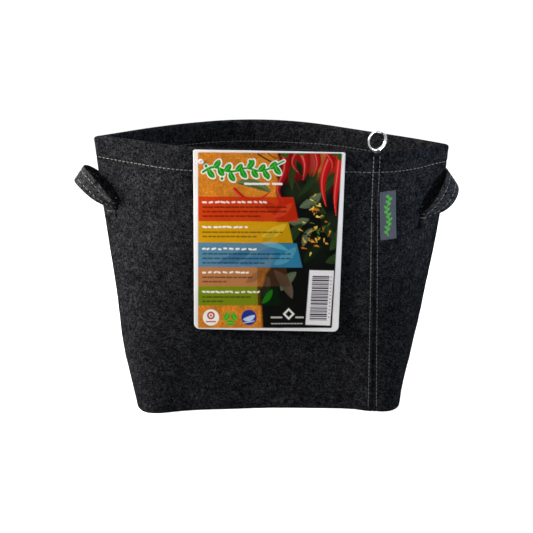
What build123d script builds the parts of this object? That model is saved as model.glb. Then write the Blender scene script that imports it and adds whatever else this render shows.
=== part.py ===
from build123d import *
import math
import os
from dataclasses import dataclass

# Fabric grow bag, sewn from thick non-woven felt, standing pinched: a D-shaped
# base below and a lens-shaped mouth above. Millimetres. Origin on the floor at
# the middle of the base, +Z up, +X to the right of the front panel, -Y to the
# front. A "level" is a fraction of the height: 0 at the floor, 1 at the rim.

os.makedirs("parts", exist_ok=True)

# ---------------------------------------------------------------- dimensions
BAG_H = 236.2            # floor to rim at the middle of the mouth
LEAN_X = 0.0226          # rim rises to the left
LEAN_Y = 0.027           # rim rises to the back
LEAN_CENTRE_Y = -10      # y at which the backward rise is nought
FELT_T = 2.5             # felt thickness
HEM_H = 26.0             # depth of the turned-in hem
HEM_LEVEL = 1 - HEM_H / BAG_H

BASE_FLANGE_H = 12.0     # seam allowance of the base, turned up inside
BASE_GAP = 0.15          # base edge to wall

THREAD_R = 0.42          # sewing thread
THREAD_LIFT = 0.12       # thread axis off the felt, hem and side seam
HEM_STITCH_DROP = 19.5   # stitch row below the rim
HEM_STITCH_LEVEL = 1 - HEM_STITCH_DROP / BAG_H
HEM_STITCH_L = 2.9
HEM_STITCH_PITCH = 4.1
HEM_STITCH_END = 3.2     # row's end to the crease
BASE_STITCH_LEVEL = 0.034  # outline that the base seam follows
BASE_STITCH_Z = 8.0
BASE_STITCH_L = 3.4
BASE_STITCH_PITCH = 5.2
BASE_STITCH_END = 7.0
BASE_STITCH_LIFT = 0.1

# two rows of the side seam: x at the floor, x at the rim
SEAM_ROWS = {"left": (86.9, 84.6), "right": (94.0, 90.6)}
SEAM_START, SEAM_STOP = 5.0, 4.0  # ends of the rows above the floor, below the rim
SEAM_CROSSING = 1.2      # no seam stitch this close to the hem row
SEAM_STITCH_L = 2.7      # also on the straps
SEAM_STITCH_PITCH = 3.9
SEAM_LAP_W = 16.0        # felt lapped behind the seam
SEAM_LAP_DEPTHS = (FELT_T - 0.6, 2 * FELT_T - 0.3)
SEAM_LAP_LEVELS = (0.056, 0.2, 0.4, 0.6, 0.8, 0.99)

STRAP_W = 16.0           # handle strap
STRAP_T = 2.2
STANDOFF = {"front": 4.4, "back": 7.4}  # strap root off the wall
LOOP_POINTS = 25
LOOP_OUT_POWER = 0.62    # below 1: straighter legs
LOOP_ACROSS_POWER = 0.72
HINGE_DISC_R = 8.0       # rounded root of the strap
HINGE_GAP = 0.4
SLIT_W = 2.9
SLIT_H = 17.0
SLIT_CUTS = {"front": (1.2, 9), "back": (1.8, 12)}  # cut's centre inside the wall, its depth
TAIL_RUNS = (5.0, 8.5, 12.5, 16.5, 19.0)  # points of the strap end, from the pivot inwards
TAIL_GAP = 0.45          # strap end to wall
TAIL_BENDS = {"front": (3.4, 4.3), "back": (4.2, 5.1)}  # depths where the tail leaves the slit
TAIL_SAMPLES = 60
STRAP_ROW_OFFSET = 4.6   # stitch rows from the middle of the strap
STRAP_ROW_END = 13.0     # row's end to the root of the loop
STRAP_THREAD_LIFT = 0.1
TACK_L = 6.5
TACK_LIFT = 0.15
TACK_OFFSETS = (1.0, 2.0)  # beyond the ends of the slit

RING_OD = 18.0           # split ring
RING_WIRE = 1.5          # radial
RING_WIRE_AX = 1.6       # axial
RING_WIRE_ROUND = 0.42
RING_PITCH = 1.7
RING_TURNS = 1.85
RING_X = 87.7
RING_YAW = math.radians(25.0)
RING_DENT_R, RING_DENT_L = 3.1, 15  # dent in the rim under the ring
BINDING_R = 2.98         # turn of the binding thread, mean radius
BINDING_THREAD_R = 0.32
BINDING_PITCH = 1.25

TAG_W, TAG_H, TAG_T = 11.0, 41.4, 0.45  # woven side tag
TAG_ROOT_W = 2.7         # its edge, sewn beside the right-hand seam row
TAG_FOLD_GAP = 0.5       # free flap to the edge
TAG_HINGE_X, TAG_MID_Z = 94.4, 178.2
TAG_CLEAR = 0.62         # in front of the wall
TAG_FLARE = 0.55         # its free side stands this much further forward
TAG_RISE = 0.5           # its free side is this much higher
TAG_SLANT = -0.045       # x per z along its height

CARD_W, CARD_H, CARD_T = 125.0, 157.6, 0.5  # hang card
CARD_CX = -1.1
CARD_ORIGIN_LIFT = 0.8   # the card's heights are counted from this far above the rim
CARD_TOP = 1.6           # top edge of the card, below that origin
CARD_BEND = 22.0         # the card bends this far below it
CARD_BEND_GAP = 0.35
CARD_SLOPE = math.tan(math.radians(2.9))  # the card leans out towards its foot
CARD_FRONT = -1.25       # front face of the card at the origin, y from the wall
CARD_CORNER_R = 5.0
HEM_STITCH_CARD_GAP = 4  # no hem stitch this close to the card
PIN_X, PIN_DROP = -55.9, 11.5  # pin from the card's middle and below its origin
PIN_HEAD_R, PIN_HEAD_T, PIN_HEAD_ROUND = 2.3, 1.1, 0.7
PIN_SHANK_R = 0.6
PIN_SPAN = 2 * FELT_T + 1.15 - CARD_FRONT  # card face to the inside of the hem, with slack
PIN_SHANK_EXTRA = 1.2
PIN_STOP_R, PIN_STOP_T, PIN_STOP_GAP = 1.9, 0.9, 0.6

# Control outlines (x, y), left crease to right crease.
RIM_FRONT = [
    (-150, -29.5), (-128, -36.5), (-100, -47), (-72, -56), (-36, -58.6), (0, -58.8),
    (36, -59), (72, -59.2), (98, -56.5), (125, -43.5), (150.5, -30.5)]
BASE_FRONT = [
    (-119, -50), (-116.5, -66), (-108, -74.5), (-82, -75), (-42, -71), (0, -68.5),
    (42, -69), (80, -72), (105, -71), (112.5, -62), (115.5, -47)]
RIM_BACK = [
    (-150, -29.5), (-127, -12), (-100, 8.5), (-68, 25.3), (-34, 35.6), (0, 38.2),
    (34, 32.6), (66, 19.6), (98, 2.2), (126, -14), (150.5, -30.5)]
BASE_BACK = [
    (-119, -50), (-119.5, -25), (-113, 7), (-94, 40), (-55, 64.5), (0, 73),
    (54, 64.5), (91, 41), (110.5, 9), (117, -22), (115.5, -47)]
CONTROLS = {"front": (RIM_FRONT, BASE_FRONT), "back": (RIM_BACK, BASE_BACK)}
INWARD = {"front": 1, "back": -1}  # y direction into the bag

# (level, how far the outline has changed from base to rim)
BLEND = [
    (0, 0), (.02, .04), (.05, .095), (.09, .165), (.16, .267), (.23, .347),
    (.3, .424), (.44, .553), (.58, .686), (.72, .815), (.86, .915), (1, 1)]
# (level, shift in x) of the left and the right side
SIDE_LEFT = [
    (0, .5), (.05, -.4), (.11, -1.5), (.18, -2.4), (.27, -2.5), (.38, -1.6),
    (.5, -.6), (.62, 0), (.75, .1), (.88, -.2), (1, -.4)]
SIDE_RIGHT = [
    (0, 0), (.05, -.3), (.11, -.2), (.18, .1), (.27, .5), (.38, 1.3),
    (.5, 2.2), (.62, 2.5), (.75, 2.3), (.88, 2.0), (1, 1.3)]
SIDE_REACH = 110.0       # x at which the side shift counts in full
OUTLINE_SAMPLES = 241
SPLINE_POINTS = 19       # points of each section curve

# levels of the loft sections
LEVELS = [0, .05, .11, .18, .27, .38, .5, .62, .75, .88, 1.0]
LOW_LEVELS = [-.02, 0, .05, .11, .18, .27]
HOLLOW_LEVELS = LOW_LEVELS + [.38, .5, .62, .75, .82, HEM_LEVEL]
MOUTH_LEVELS = [HEM_LEVEL - .004, .93, .965, 1.0, 1.02]


@dataclass
class Handle:
    name: str
    out: int         # x direction away from the bag
    x: float         # pivot
    z: float
    reach: float     # pivot to the crown of the loop
    tilt: float      # the loop stands up from level by this angle, degrees


HANDLES = (
    Handle("left", out=-1, x=-132.7, z=177.6, reach=43.0, tilt=46.0),
    Handle("right", out=1, x=129.6, z=171.8, reach=44.0, tilt=43.0),
)


# ---------------------------------------------------------------- curve maths
def look_up(rows, level):
    """Value at a level in a table, by linear interpolation."""
    level = min(max(level, 0.0), 1.0)
    for (low, low_value), (high, high_value) in zip(rows, rows[1:]):
        if level <= high:
            return low_value + (high_value - low_value) * (level - low) / (high - low)
    return rows[-1][1]


def unit(x, y):
    size = math.hypot(x, y)
    return x / size, y / size


def length(points):
    return sum(math.dist(start, end) for start, end in zip(points, points[1:]))


def along(points, distance):
    """Point and unit tangent at an arc length."""
    run = 0.0
    for (x0, y0), (x1, y1) in zip(points, points[1:]):
        step = math.hypot(x1 - x0, y1 - y0)
        if run + step >= distance or (x1, y1) == points[-1]:
            part = (distance - run) / step
            return (x0 + part * (x1 - x0), y0 + part * (y1 - y0)), unit(x1 - x0, y1 - y0)
        run += step


def evenly(start, end, pitch):
    """Middles of the equal steps, about one pitch long, from start to end."""
    count = int((end - start) / pitch)
    return [start + (end - start) * (i + .5) / count for i in range(count)]


def second_derivatives(spans, values):
    """Second derivatives of a natural cubic spline at its knots."""
    last = len(spans)
    diagonal = [1.0] * (last + 1)
    right = [0.0] * (last + 1)
    result = [0.0] * (last + 1)
    for i in range(1, last):
        before, after = spans[i - 1], spans[i]
        diagonal[i] = 2 * (before + after)
        right[i] = 6 * ((values[i + 1] - values[i]) / after
                        - (values[i] - values[i - 1]) / before)
        if i > 1:
            factor = before / diagonal[i - 1]
            diagonal[i] -= factor * before
            right[i] -= factor * right[i - 1]
    for i in range(last - 1, 0, -1):
        result[i] = (right[i] - spans[i] * result[i + 1]) / diagonal[i]
    return result


def smooth(points, count):
    """Natural cubic curve through the points, count points along it."""
    knots = [0.0]
    for start, end in zip(points, points[1:]):
        knots.append(knots[-1] + math.dist(start, end))
    spans = [high - low for low, high in zip(knots, knots[1:])]
    axes = []
    for values in zip(*points):
        axes.append((values, second_derivatives(spans, values)))

    curve, j = [], 0
    for i in range(count):
        distance = knots[-1] * i / (count - 1)
        while j < len(spans) - 1 and distance > knots[j + 1]:
            j += 1
        span = spans[j]
        ahead, behind = knots[j + 1] - distance, distance - knots[j]
        curve.append(tuple(
            (bend[j] * ahead ** 3 + bend[j + 1] * behind ** 3) / (6 * span)
            + (values[j] / span - bend[j] * span / 6) * ahead
            + (values[j + 1] / span - bend[j + 1] * span / 6) * behind
            for values, bend in axes))
    return curve


def ribbon(path, thickness):
    """Both edges of a ribbon about a path."""
    left, right = [], []
    for i, (x, y) in enumerate(path):
        before, after = path[max(i - 1, 0)], path[min(i + 1, len(path) - 1)]
        tx, ty = unit(after[0] - before[0], after[1] - before[1])
        left.append((x - ty * thickness / 2, y + tx * thickness / 2))
        right.append((x + ty * thickness / 2, y - tx * thickness / 2))
    return left, right


# ---------------------------------------------------------------- bag surface
outlines = {}


def outline(level, side):
    """Dense outer outline of one panel at a level, left to right."""
    key = (round(level, 5), side)
    if key not in outlines:
        blend = look_up(BLEND, level)
        points = []
        for (rim_x, rim_y), (base_x, base_y) in zip(*CONTROLS[side]):
            x = blend * rim_x + (1 - blend) * base_x
            y = blend * rim_y + (1 - blend) * base_y
            shift = look_up(SIDE_LEFT if x < 0 else SIDE_RIGHT, level)
            points.append((x + shift * min(abs(x) / SIDE_REACH, 1.0) ** 2, y))
        outlines[key] = smooth(points, OUTLINE_SAMPLES)
    return outlines[key]


def level_z(level, x, y):
    return BAG_H * level - LEAN_X * level * x + LEAN_Y * level * (y - LEAN_CENTRE_Y)


def level_plane(level):
    return Plane(
        origin=(0, LEAN_CENTRE_Y, BAG_H * level),
        x_dir=(1, 0, -LEAN_X * level),
        z_dir=(LEAN_X * level, -LEAN_Y * level, 1),
    )


def in_level_plane(level, x, y, z):
    local = level_plane(level).to_local_coords(Vector(x, y, z))
    return local.X, local.Y


def outward(tangent, side):
    """Normal of a panel that points out of the bag."""
    return INWARD[side] * tangent[1], -INWARD[side] * tangent[0], 0


def shift_in(point, tangent, side, depth):
    """Point moved into the bag, square to the panel."""
    normal = outward(tangent, side)
    return point[0] - normal[0] * depth, point[1] - normal[1] * depth


def crease_half_angles(level):
    """Half the angle between the panels at the left and the right crease."""
    front, back = outline(level, "front"), outline(level, "back")
    angles = []
    for i, j in ((0, 2), (-1, -3)):
        front_x, front_y = unit(front[j][0] - front[i][0], front[j][1] - front[i][1])
        back_x, back_y = unit(back[j][0] - back[i][0], back[j][1] - back[i][1])
        cosine = front_x * back_x + front_y * back_y
        angles.append(math.acos(max(-1.0, min(1.0, cosine))) / 2)
    return angles


def trimmed_run(level, side, depth):
    """Arc lengths between which a curve at this depth is clear of the other panel."""
    left, right = crease_half_angles(level)
    return depth / math.tan(left), length(outline(level, side)) - depth / math.tan(right)


def inset(level, side, depth):
    """Panel outline moved inwards, trimmed where it meets the other panel."""
    points = outline(level, side)
    start, end = trimmed_run(level, side, depth)
    moved = []
    for i in range(SPLINE_POINTS):
        point, tangent = along(points, start + (end - start) * i / (SPLINE_POINTS - 1))
        moved.append(shift_in(point, tangent, side, depth))
    return moved


def draw_section(level, depth):
    """Front and back splines with shared ends, drawn in the open BuildLine."""
    front, back = inset(level, "front", depth), inset(level, "back", depth)
    for i in (0, -1):
        front[i] = back[i] = (
            (front[i][0] + back[i][0]) / 2,
            (front[i][1] + back[i][1]) / 2,
        )
    for curve in (front, back):
        Spline(*[in_level_plane(level, x, y, level_z(level, x, y)) for x, y in curve])


def at_x(level, side, x):
    """Point and tangent on a panel at a given x."""
    points = outline(level, side)
    # low on the front the outline doubles back near the left crease
    first = 20 if side == "front" and level < .5 else 0
    for (x0, y0), (x1, y1) in zip(points[first:], points[first + 1:]):
        if (x0 - x) * (x1 - x) <= 0 and x1 != x0:
            part = (x - x0) / (x1 - x0)
            return (x, y0 + part * (y1 - y0)), unit(x1 - x0, y1 - y0)
    raise ValueError((level, side, x))


def wall_y(side, x, z):
    """y of the outer surface at x, z, by bisection on the level."""
    low, high = z / BAG_H - .04, min(z / BAG_H + .04, 1.0)
    for _ in range(30):
        level = (low + high) / 2
        (_, y), _ = at_x(level, side, x)
        if level_z(level, x, y) < z:
            low = level
        else:
            high = level
    return at_x((low + high) / 2, side, x)[0][1]


# ---------------------------------------------------------------- shared places
def rim_point(x, y_shift, z_shift):
    """Point beside the outer edge of the front rim."""
    y = at_x(1.0, "front", x)[0][1]
    return Vector(x, y + y_shift, level_z(1.0, x, y) + z_shift)


RING_FOOT = rim_point(RING_X, -.2, .1 + RING_WIRE / 2)
RING_ALONG = Vector(math.cos(RING_YAW), math.sin(RING_YAW), 0)  # along the wire at the foot

CARD_ALONG = Vector(1, -.0144, -.016).normalized()
# cross-section plane at the card's middle: x to the back, y up
CARD_PROFILE = Plane(
    origin=rim_point(CARD_CX, 0, CARD_ORIGIN_LIFT), x_dir=Vector(0, 1, 0), z_dir=CARD_ALONG
)


def save(builder, name):
    builder.part.label = name
    export_step(builder.part, f"parts/{name}.step")


# ---------------------------------------------------------------- felt panels
def seam_x(row, level):
    bottom, top = SEAM_ROWS[row]
    return bottom + (top - bottom) * level


def lap_corners(level):
    """Section of the felt lapped behind the side seam."""
    middle = (seam_x("left", level) + seam_x("right", level)) / 2
    half, (outer, inner) = SEAM_LAP_W / 2, SEAM_LAP_DEPTHS
    corners = []
    for offset, depth in ((-half, outer), (half, outer), (half, inner), (-half, inner)):
        point, tangent = at_x(level, "front", middle + offset)
        x, y = shift_in(point, tangent, "front", depth)
        corners.append(in_level_plane(level, x, y, level_z(level, *point)))
    return corners


def make_wall_panel():
    lofts = (
        (LEVELS, 0, Mode.ADD),                       # outer skin
        (HOLLOW_LEVELS, FELT_T, Mode.SUBTRACT),      # hollow below the hem
        (MOUTH_LEVELS, 2 * FELT_T, Mode.SUBTRACT),   # mouth inside the doubled hem
    )
    with BuildPart() as panel:
        for levels, depth, mode in lofts:
            for level in levels:
                with BuildSketch(level_plane(level)):
                    with BuildLine():
                        draw_section(level, depth)
                    make_face()
            loft(mode=mode)
        # lapped end of the felt behind the side seam
        for level in SEAM_LAP_LEVELS:
            with BuildSketch(level_plane(level)):
                with BuildLine():
                    Polyline(*lap_corners(level), close=True)
                make_face()
        loft()
        # slits that the handle straps pass through
        for handle in HANDLES:
            for side, (shift, depth) in SLIT_CUTS.items():
                y = wall_y(side, handle.x, handle.z) + INWARD[side] * shift
                with Locations((handle.x, y, handle.z)):
                    Box(SLIT_W, depth, SLIT_H, mode=Mode.SUBTRACT)
        # dent in the rim where the ring is bound on
        with Locations(Plane(origin=RING_FOOT, z_dir=RING_ALONG, x_dir=(0, 0, 1)).location):
            Cylinder(radius=RING_DENT_R, height=RING_DENT_L, mode=Mode.SUBTRACT)
    save(panel, "wall_panel")


def make_base_panel():
    # levels, depth from the outer skin, lift, mode
    lofts = (
        (LOW_LEVELS, FELT_T + BASE_GAP, 0, Mode.ADD),
        (LOW_LEVELS[1:], 2 * FELT_T + BASE_GAP, FELT_T, Mode.SUBTRACT),
    )
    with BuildPart() as panel:
        for levels, depth, lift, mode in lofts:
            for level in levels:
                with BuildSketch(level_plane(level).offset(lift)):
                    with BuildLine():
                        draw_section(level, depth)
                    make_face()
            loft(mode=mode)
        # cut off above the flange and below the floor
        with Locations((0, 0, BASE_FLANGE_H)):
            Box(400, 400, 200, align=(Align.CENTER, Align.CENTER, Align.MIN), mode=Mode.SUBTRACT)
        Box(400, 400, 50, align=(Align.CENTER, Align.CENTER, Align.MAX), mode=Mode.SUBTRACT)
    save(panel, "base_panel")


# ---------------------------------------------------------------- thread
def stitch_place(point, tangent, normal):
    """Location of a stitch lying along tangent on a surface with this normal."""
    return Plane(origin=point, x_dir=normal, z_dir=tangent).location


def make_stitches(name, places, stitch_length):
    with BuildPart() as thread:
        with Locations(*places):
            Cylinder(radius=THREAD_R, height=stitch_length)
    save(thread, name)


def hem_row(depth):
    """Stitch places round the mouth, this far below the outer face; negative is outside."""
    level = HEM_STITCH_LEVEL
    places = []
    for side in ("front", "back"):
        start, end = trimmed_run(level, side, max(depth - THREAD_LIFT, 0))
        for distance in evenly(start + HEM_STITCH_END, end - HEM_STITCH_END, HEM_STITCH_PITCH):
            point, tangent = along(outline(level, side), distance)
            if side == "front" and abs(point[0] - CARD_CX) < CARD_W / 2 + HEM_STITCH_CARD_GAP:
                continue  # under the card
            x, y = shift_in(point, tangent, side, depth)
            direction = (*tangent, -LEAN_X * tangent[0])
            places.append(stitch_place(
                (x, y, level_z(level, *point)), direction, outward(tangent, side)))
    return places


def make_hem_stitch():
    places = hem_row(-THREAD_LIFT) + hem_row(2 * FELT_T + THREAD_LIFT)
    make_stitches("hem_stitch", places, HEM_STITCH_L)


def make_base_stitch():
    """Base seam, inside on the flange."""
    depth = 2 * FELT_T + BASE_GAP + BASE_STITCH_LIFT
    places = []
    for side in ("front", "back"):
        points = outline(BASE_STITCH_LEVEL, side)
        end = length(points) - BASE_STITCH_END
        for distance in evenly(BASE_STITCH_END, end, BASE_STITCH_PITCH):
            point, tangent = along(points, distance)
            x, y = shift_in(point, tangent, side, depth)
            places.append(stitch_place(
                (x, y, BASE_STITCH_Z), (*tangent, 0), outward(tangent, side)))
    make_stitches("base_stitch", places, BASE_STITCH_L)


def seam_point(level, row):
    """Thread axis and outward normal of a side-seam row."""
    point, tangent = at_x(level, "front", seam_x(row, level))
    normal = Vector(*outward(tangent, "front"))
    return Vector(*point, level_z(level, *point)) + normal * THREAD_LIFT, normal


def make_seam_stitch(row):
    places = []
    for height in evenly(SEAM_START, BAG_H - SEAM_STOP, SEAM_STITCH_PITCH):
        level = height / BAG_H
        if abs(level - HEM_STITCH_LEVEL) * BAG_H < SEAM_CROSSING:
            continue
        point, normal = seam_point(level, row)
        above, _ = seam_point(min(level + .01, 1), row)
        places.append(stitch_place(point, (above - point).normalized(), normal))
    make_stitches(f"seam_stitch_{row}", places, SEAM_STITCH_L)


# ---------------------------------------------------------------- handles
def root_y(handle, side):
    """y of the strap's centre line at its root."""
    standoff = STANDOFF[side] + STRAP_T / 2
    return wall_y(side, handle.x, handle.z) - INWARD[side] * standoff


def loop_plane(handle):
    """Plane of the loop: x out along it, y across the bag, z over the strap's width."""
    tilt = math.radians(handle.tilt)
    return Plane(
        origin=(handle.x, 0, handle.z),
        x_dir=Vector(handle.out * math.cos(tilt), 0, math.sin(tilt)),
        z_dir=Vector(-handle.out * math.sin(tilt), 0, math.cos(tilt)),
    )


def pivot_plane(handle):
    return Plane(origin=(handle.x, 0, handle.z), z_dir=(0, 1, 0), x_dir=(1, 0, 0))


def loop_path(handle):
    """Centre line in the loop plane, front root to back root: rounded crown, straight legs."""
    front, back = root_y(handle, "front"), root_y(handle, "back")
    middle, half = (front + back) / 2, (back - front) / 2
    path = []
    for i in range(LOOP_POINTS):
        angle = math.pi * i / (LOOP_POINTS - 1)
        rise = math.sin(angle) ** LOOP_OUT_POWER if 0 < angle < math.pi else 0.0
        cosine = math.cos(angle)
        y = middle - half * math.copysign(abs(cosine) ** LOOP_ACROSS_POWER, cosine)
        # the plane's y runs to the front on the left handle
        path.append((handle.reach * rise, handle.out * y))
    return path


def make_loop(handle):
    edge_a, edge_b = ribbon(loop_path(handle), STRAP_T)
    with BuildPart() as loop:
        with BuildSketch(loop_plane(handle).offset(-STRAP_W / 2)):
            with BuildLine():
                Spline(*edge_a)
                Line(edge_a[-1], edge_b[-1])
                Spline(*edge_b)
                Line(edge_b[0], edge_a[0])
            make_face()
        extrude(amount=STRAP_W)
        # hollow ends that clear the rounded roots
        with Locations(pivot_plane(handle).location):
            Cylinder(radius=HINGE_DISC_R + HINGE_GAP, height=200, mode=Mode.SUBTRACT)
    save(loop, f"handle_{handle.name}")


def tail_path(handle, side):
    """Plan of a strap end: outside the wall, through the slit, flat against the inside."""
    x, out, inward = handle.x, handle.out, INWARD[side]
    root, wall = root_y(handle, side), wall_y(side, handle.x, handle.z)
    slit_end, turn = TAIL_BENDS[side]
    # outwards in x and inwards in y from the root
    path = [(x + out * dx, root + inward * dy)
            for dx, dy in ((7.9, 0), (5.0, 0), (2.0, .12), (.5, .7), (0, 2.0))]
    path += [
        (x, (root + inward * 2.0 + wall) / 2 + inward * .8),
        (x, wall + inward * slit_end),
        (x - out * 1.4, wall + inward * turn),
    ]
    for run in TAIL_RUNS:
        point, tangent = at_x(handle.z / BAG_H, side, x - out * run)
        path.append(shift_in(point, tangent, side, FELT_T + STRAP_T / 2 + TAIL_GAP))
    return path


def make_loop_ends(handle):
    with BuildPart() as ends:
        for side in ("front", "back"):
            edge_a, edge_b = ribbon(smooth(tail_path(handle, side), TAIL_SAMPLES), STRAP_T)
            with BuildSketch(Plane.XY.offset(handle.z - STRAP_W / 2)):
                with BuildLine():
                    Polyline(*edge_a, *reversed(edge_b), close=True)
                make_face()
            extrude(amount=STRAP_W)
        # rounded root, so that the loop can turn about it
        with BuildSketch(pivot_plane(handle)):
            with Locations((handle.out * 10.5, 0)):
                Rectangle(20, 30)
            Circle(HINGE_DISC_R, mode=Mode.SUBTRACT)
        extrude(amount=100, both=True, mode=Mode.SUBTRACT)
    save(ends, f"handle_{handle.name}_ends")


def make_loop_stitch(handle):
    """Two rows along the loop, on its outer face."""
    plane = loop_plane(handle)
    points = smooth(loop_path(handle), 400)
    lift = STRAP_T / 2 + STRAP_THREAD_LIFT
    end = length(points) - STRAP_ROW_END
    places = []
    for distance in evenly(STRAP_ROW_END, end, SEAM_STITCH_PITCH):
        (x, y), (tx, ty) = along(points, distance)
        nx, ny = handle.out * ty, -handle.out * tx
        if nx * x < 0 and abs(nx) > .5:
            nx, ny = -nx, -ny
        for row in (-STRAP_ROW_OFFSET, STRAP_ROW_OFFSET):
            places.append(stitch_place(
                plane.from_local_coords(Vector(x + nx * lift, y + ny * lift, row)),
                plane.x_dir * tx + plane.y_dir * ty,
                plane.x_dir * nx + plane.y_dir * ny,
            ))
    make_stitches(f"handle_{handle.name}_stitch", places, SEAM_STITCH_L)


def make_tacks(handle):
    """Bar tacks across the top and bottom of each slit."""
    places = []
    for side in ("front", "back"):
        for end in (1, -1):
            for offset in TACK_OFFSETS:
                z = handle.z + end * (SLIT_H / 2 + offset)
                _, tangent = at_x(z / BAG_H, side, handle.x)
                point = (handle.x, wall_y(side, handle.x, z))
                x, y = shift_in(point, tangent, side, -TACK_LIFT)
                places.append(stitch_place((x, y, z), (*tangent, 0), outward(tangent, side)))
    make_stitches(f"handle_{handle.name}_tacks", places, TACK_L)


# ---------------------------------------------------------------- split ring at the rim
def make_split_ring():
    normal = Vector(math.sin(RING_YAW), -math.cos(RING_YAW), 0)
    mean_radius = (RING_OD - RING_WIRE) / 2
    coil_height = RING_PITCH * RING_TURNS
    centre = RING_FOOT + Vector(0, 0, mean_radius) - normal * (coil_height / 2)
    with BuildPart() as ring:
        with BuildLine() as coil:
            Helix(pitch=RING_PITCH, height=coil_height, radius=mean_radius,
                  center=tuple(centre), direction=tuple(normal))
        start = coil.line @ 0
        radial = (start - centre).normalized()
        with BuildSketch(Plane(origin=start, z_dir=coil.line % 0, x_dir=radial)):
            RectangleRounded(RING_WIRE, RING_WIRE_AX, RING_WIRE_ROUND)
        sweep(path=coil.line, is_frenet=True)
    save(ring, "split_ring")


def make_ring_binding():
    """Turns of thread that bind the ring's foot to the rim."""
    with BuildPart() as binding:
        for i in (-1, 0, 1):
            centre = RING_FOOT + RING_ALONG * (i * BINDING_PITCH)
            with Locations(Plane(origin=centre, z_dir=RING_ALONG, x_dir=(0, 0, 1)).location):
                Torus(major_radius=BINDING_R, minor_radius=BINDING_THREAD_R)
    save(binding, "ring_binding")


# ---------------------------------------------------------------- woven side tag
def tag_plane():
    """Plane of the tag: origin at the middle of its fold, x to its free side, y up."""
    level = TAG_MID_Z / BAG_H
    hinge_y = at_x(level, "front", TAG_HINGE_X)[0][1]
    free_y = at_x(level, "front", TAG_HINGE_X + TAG_W)[0][1]
    low_y = wall_y("front", TAG_HINGE_X, TAG_MID_Z - TAG_H / 2)
    high_y = wall_y("front", TAG_HINGE_X, TAG_MID_Z + TAG_H / 2)
    across = Vector(TAG_W, free_y - hinge_y - TAG_FLARE, TAG_RISE).normalized()
    up = Vector(TAG_SLANT, (high_y - low_y) / TAG_H, 1).normalized()
    y = min(hinge_y, (low_y + high_y) / 2) - TAG_CLEAR
    return Plane(
        origin=Vector(TAG_HINGE_X, y, TAG_MID_Z),
        x_dir=across,
        z_dir=across.cross(up).normalized(),
    )


def make_tag_piece(name, centre, width):
    with BuildPart() as tag:
        with BuildSketch(tag_plane()):
            with Locations((centre, 0)):
                Rectangle(width, TAG_H)
        extrude(amount=TAG_T / 2, both=True)
    save(tag, name)


# ---------------------------------------------------------------- hang card, pinned to the hem
def card_front(drop):
    """Front face of the card in its profile, this far below its origin."""
    return CARD_FRONT - CARD_SLOPE * drop


def make_card_header():
    top, bend = card_front(CARD_TOP), card_front(CARD_BEND)
    corners = [
        (top, -CARD_TOP), (top + CARD_T, -CARD_TOP),
        (bend + CARD_T, -CARD_BEND), (bend, -CARD_BEND),
    ]
    with BuildPart() as header:
        with BuildSketch(CARD_PROFILE.offset(-CARD_W / 2)):
            with BuildLine():
                Polyline(*corners, close=True)
            make_face()
        extrude(amount=CARD_W)
    save(header, "card_header")


def make_card_leaf():
    """Front face of the card below the bend, free to lift about it."""
    up = Vector(0, CARD_SLOPE, 1)
    up = (up - CARD_ALONG * up.dot(CARD_ALONG)).normalized()
    drop = CARD_BEND + CARD_BEND_GAP
    leaf_h = CARD_H + CARD_TOP - drop
    plane = Plane(
        origin=CARD_PROFILE.from_local_coords(Vector(card_front(drop) + CARD_T / 2, -drop, 0)),
        x_dir=CARD_ALONG,
        z_dir=CARD_ALONG.cross(up).normalized(),
    )
    with BuildPart() as leaf:
        with BuildSketch(plane):
            with Locations((0, -leaf_h / 2)):
                Rectangle(CARD_W, leaf_h)
        extrude(amount=CARD_T / 2, both=True)
        corners = leaf.edges().filter_by(lambda edge: abs(edge.length - CARD_T) < 1e-3)
        fillet(corners.sort_by(Axis.Z)[:2], CARD_CORNER_R)
    save(leaf, "card_leaf")


def make_card_pin():
    """Pin that fastens the card through the hem: head, shank, stop inside."""
    place = CARD_PROFILE.from_local_coords(Vector(card_front(PIN_DROP), -PIN_DROP, 0))
    place += CARD_ALONG * PIN_X
    inward = Vector(0, 1, 0)
    stop = place + inward * (PIN_SPAN + PIN_STOP_GAP)
    with BuildPart() as pin:
        with BuildSketch(Plane(origin=place, z_dir=-inward, x_dir=CARD_ALONG)):
            Circle(PIN_HEAD_R)
        extrude(amount=PIN_HEAD_T)
        fillet(pin.edges().filter_by(GeomType.CIRCLE).sort_by(Axis.Y)[0], PIN_HEAD_ROUND)
        with BuildSketch(Plane(origin=place, z_dir=inward, x_dir=CARD_ALONG)):
            Circle(PIN_SHANK_R)
        extrude(amount=PIN_SPAN + PIN_SHANK_EXTRA)
        with BuildSketch(Plane(origin=stop, z_dir=inward, x_dir=CARD_ALONG)):
            Circle(PIN_STOP_R)
        extrude(amount=PIN_STOP_T)
    save(pin, "card_pin")


# ---------------------------------------------------------------- all pieces
make_wall_panel()
make_base_panel()
make_hem_stitch()
make_base_stitch()
for row_name in SEAM_ROWS:
    make_seam_stitch(row_name)
for each_handle in HANDLES:
    make_loop(each_handle)
    make_loop_ends(each_handle)
    make_loop_stitch(each_handle)
    make_tacks(each_handle)
make_split_ring()
make_ring_binding()
make_tag_piece("side_tag", (TAG_W + TAG_FOLD_GAP) / 2, TAG_W - TAG_FOLD_GAP)
make_tag_piece("side_tag_root", -TAG_ROOT_W / 2, TAG_ROOT_W)
make_card_header()
make_card_leaf()
make_card_pin()
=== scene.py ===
"""A charcoal felt bag, open at the top, with two strap handles, a hang card held by a stud,
a split ring bound to the rim and a woven side tag.

Lengths are millimetres unless a comment says otherwise; MM turns them into metres.
The bag stands on z = 0 round the origin. Its front faces -Y and x runs to the right
as seen from the front. A level t runs from 0 at the foot to 1 at the rim.
"""
import bpy
import math
import numpy as np
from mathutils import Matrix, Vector, noise


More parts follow.
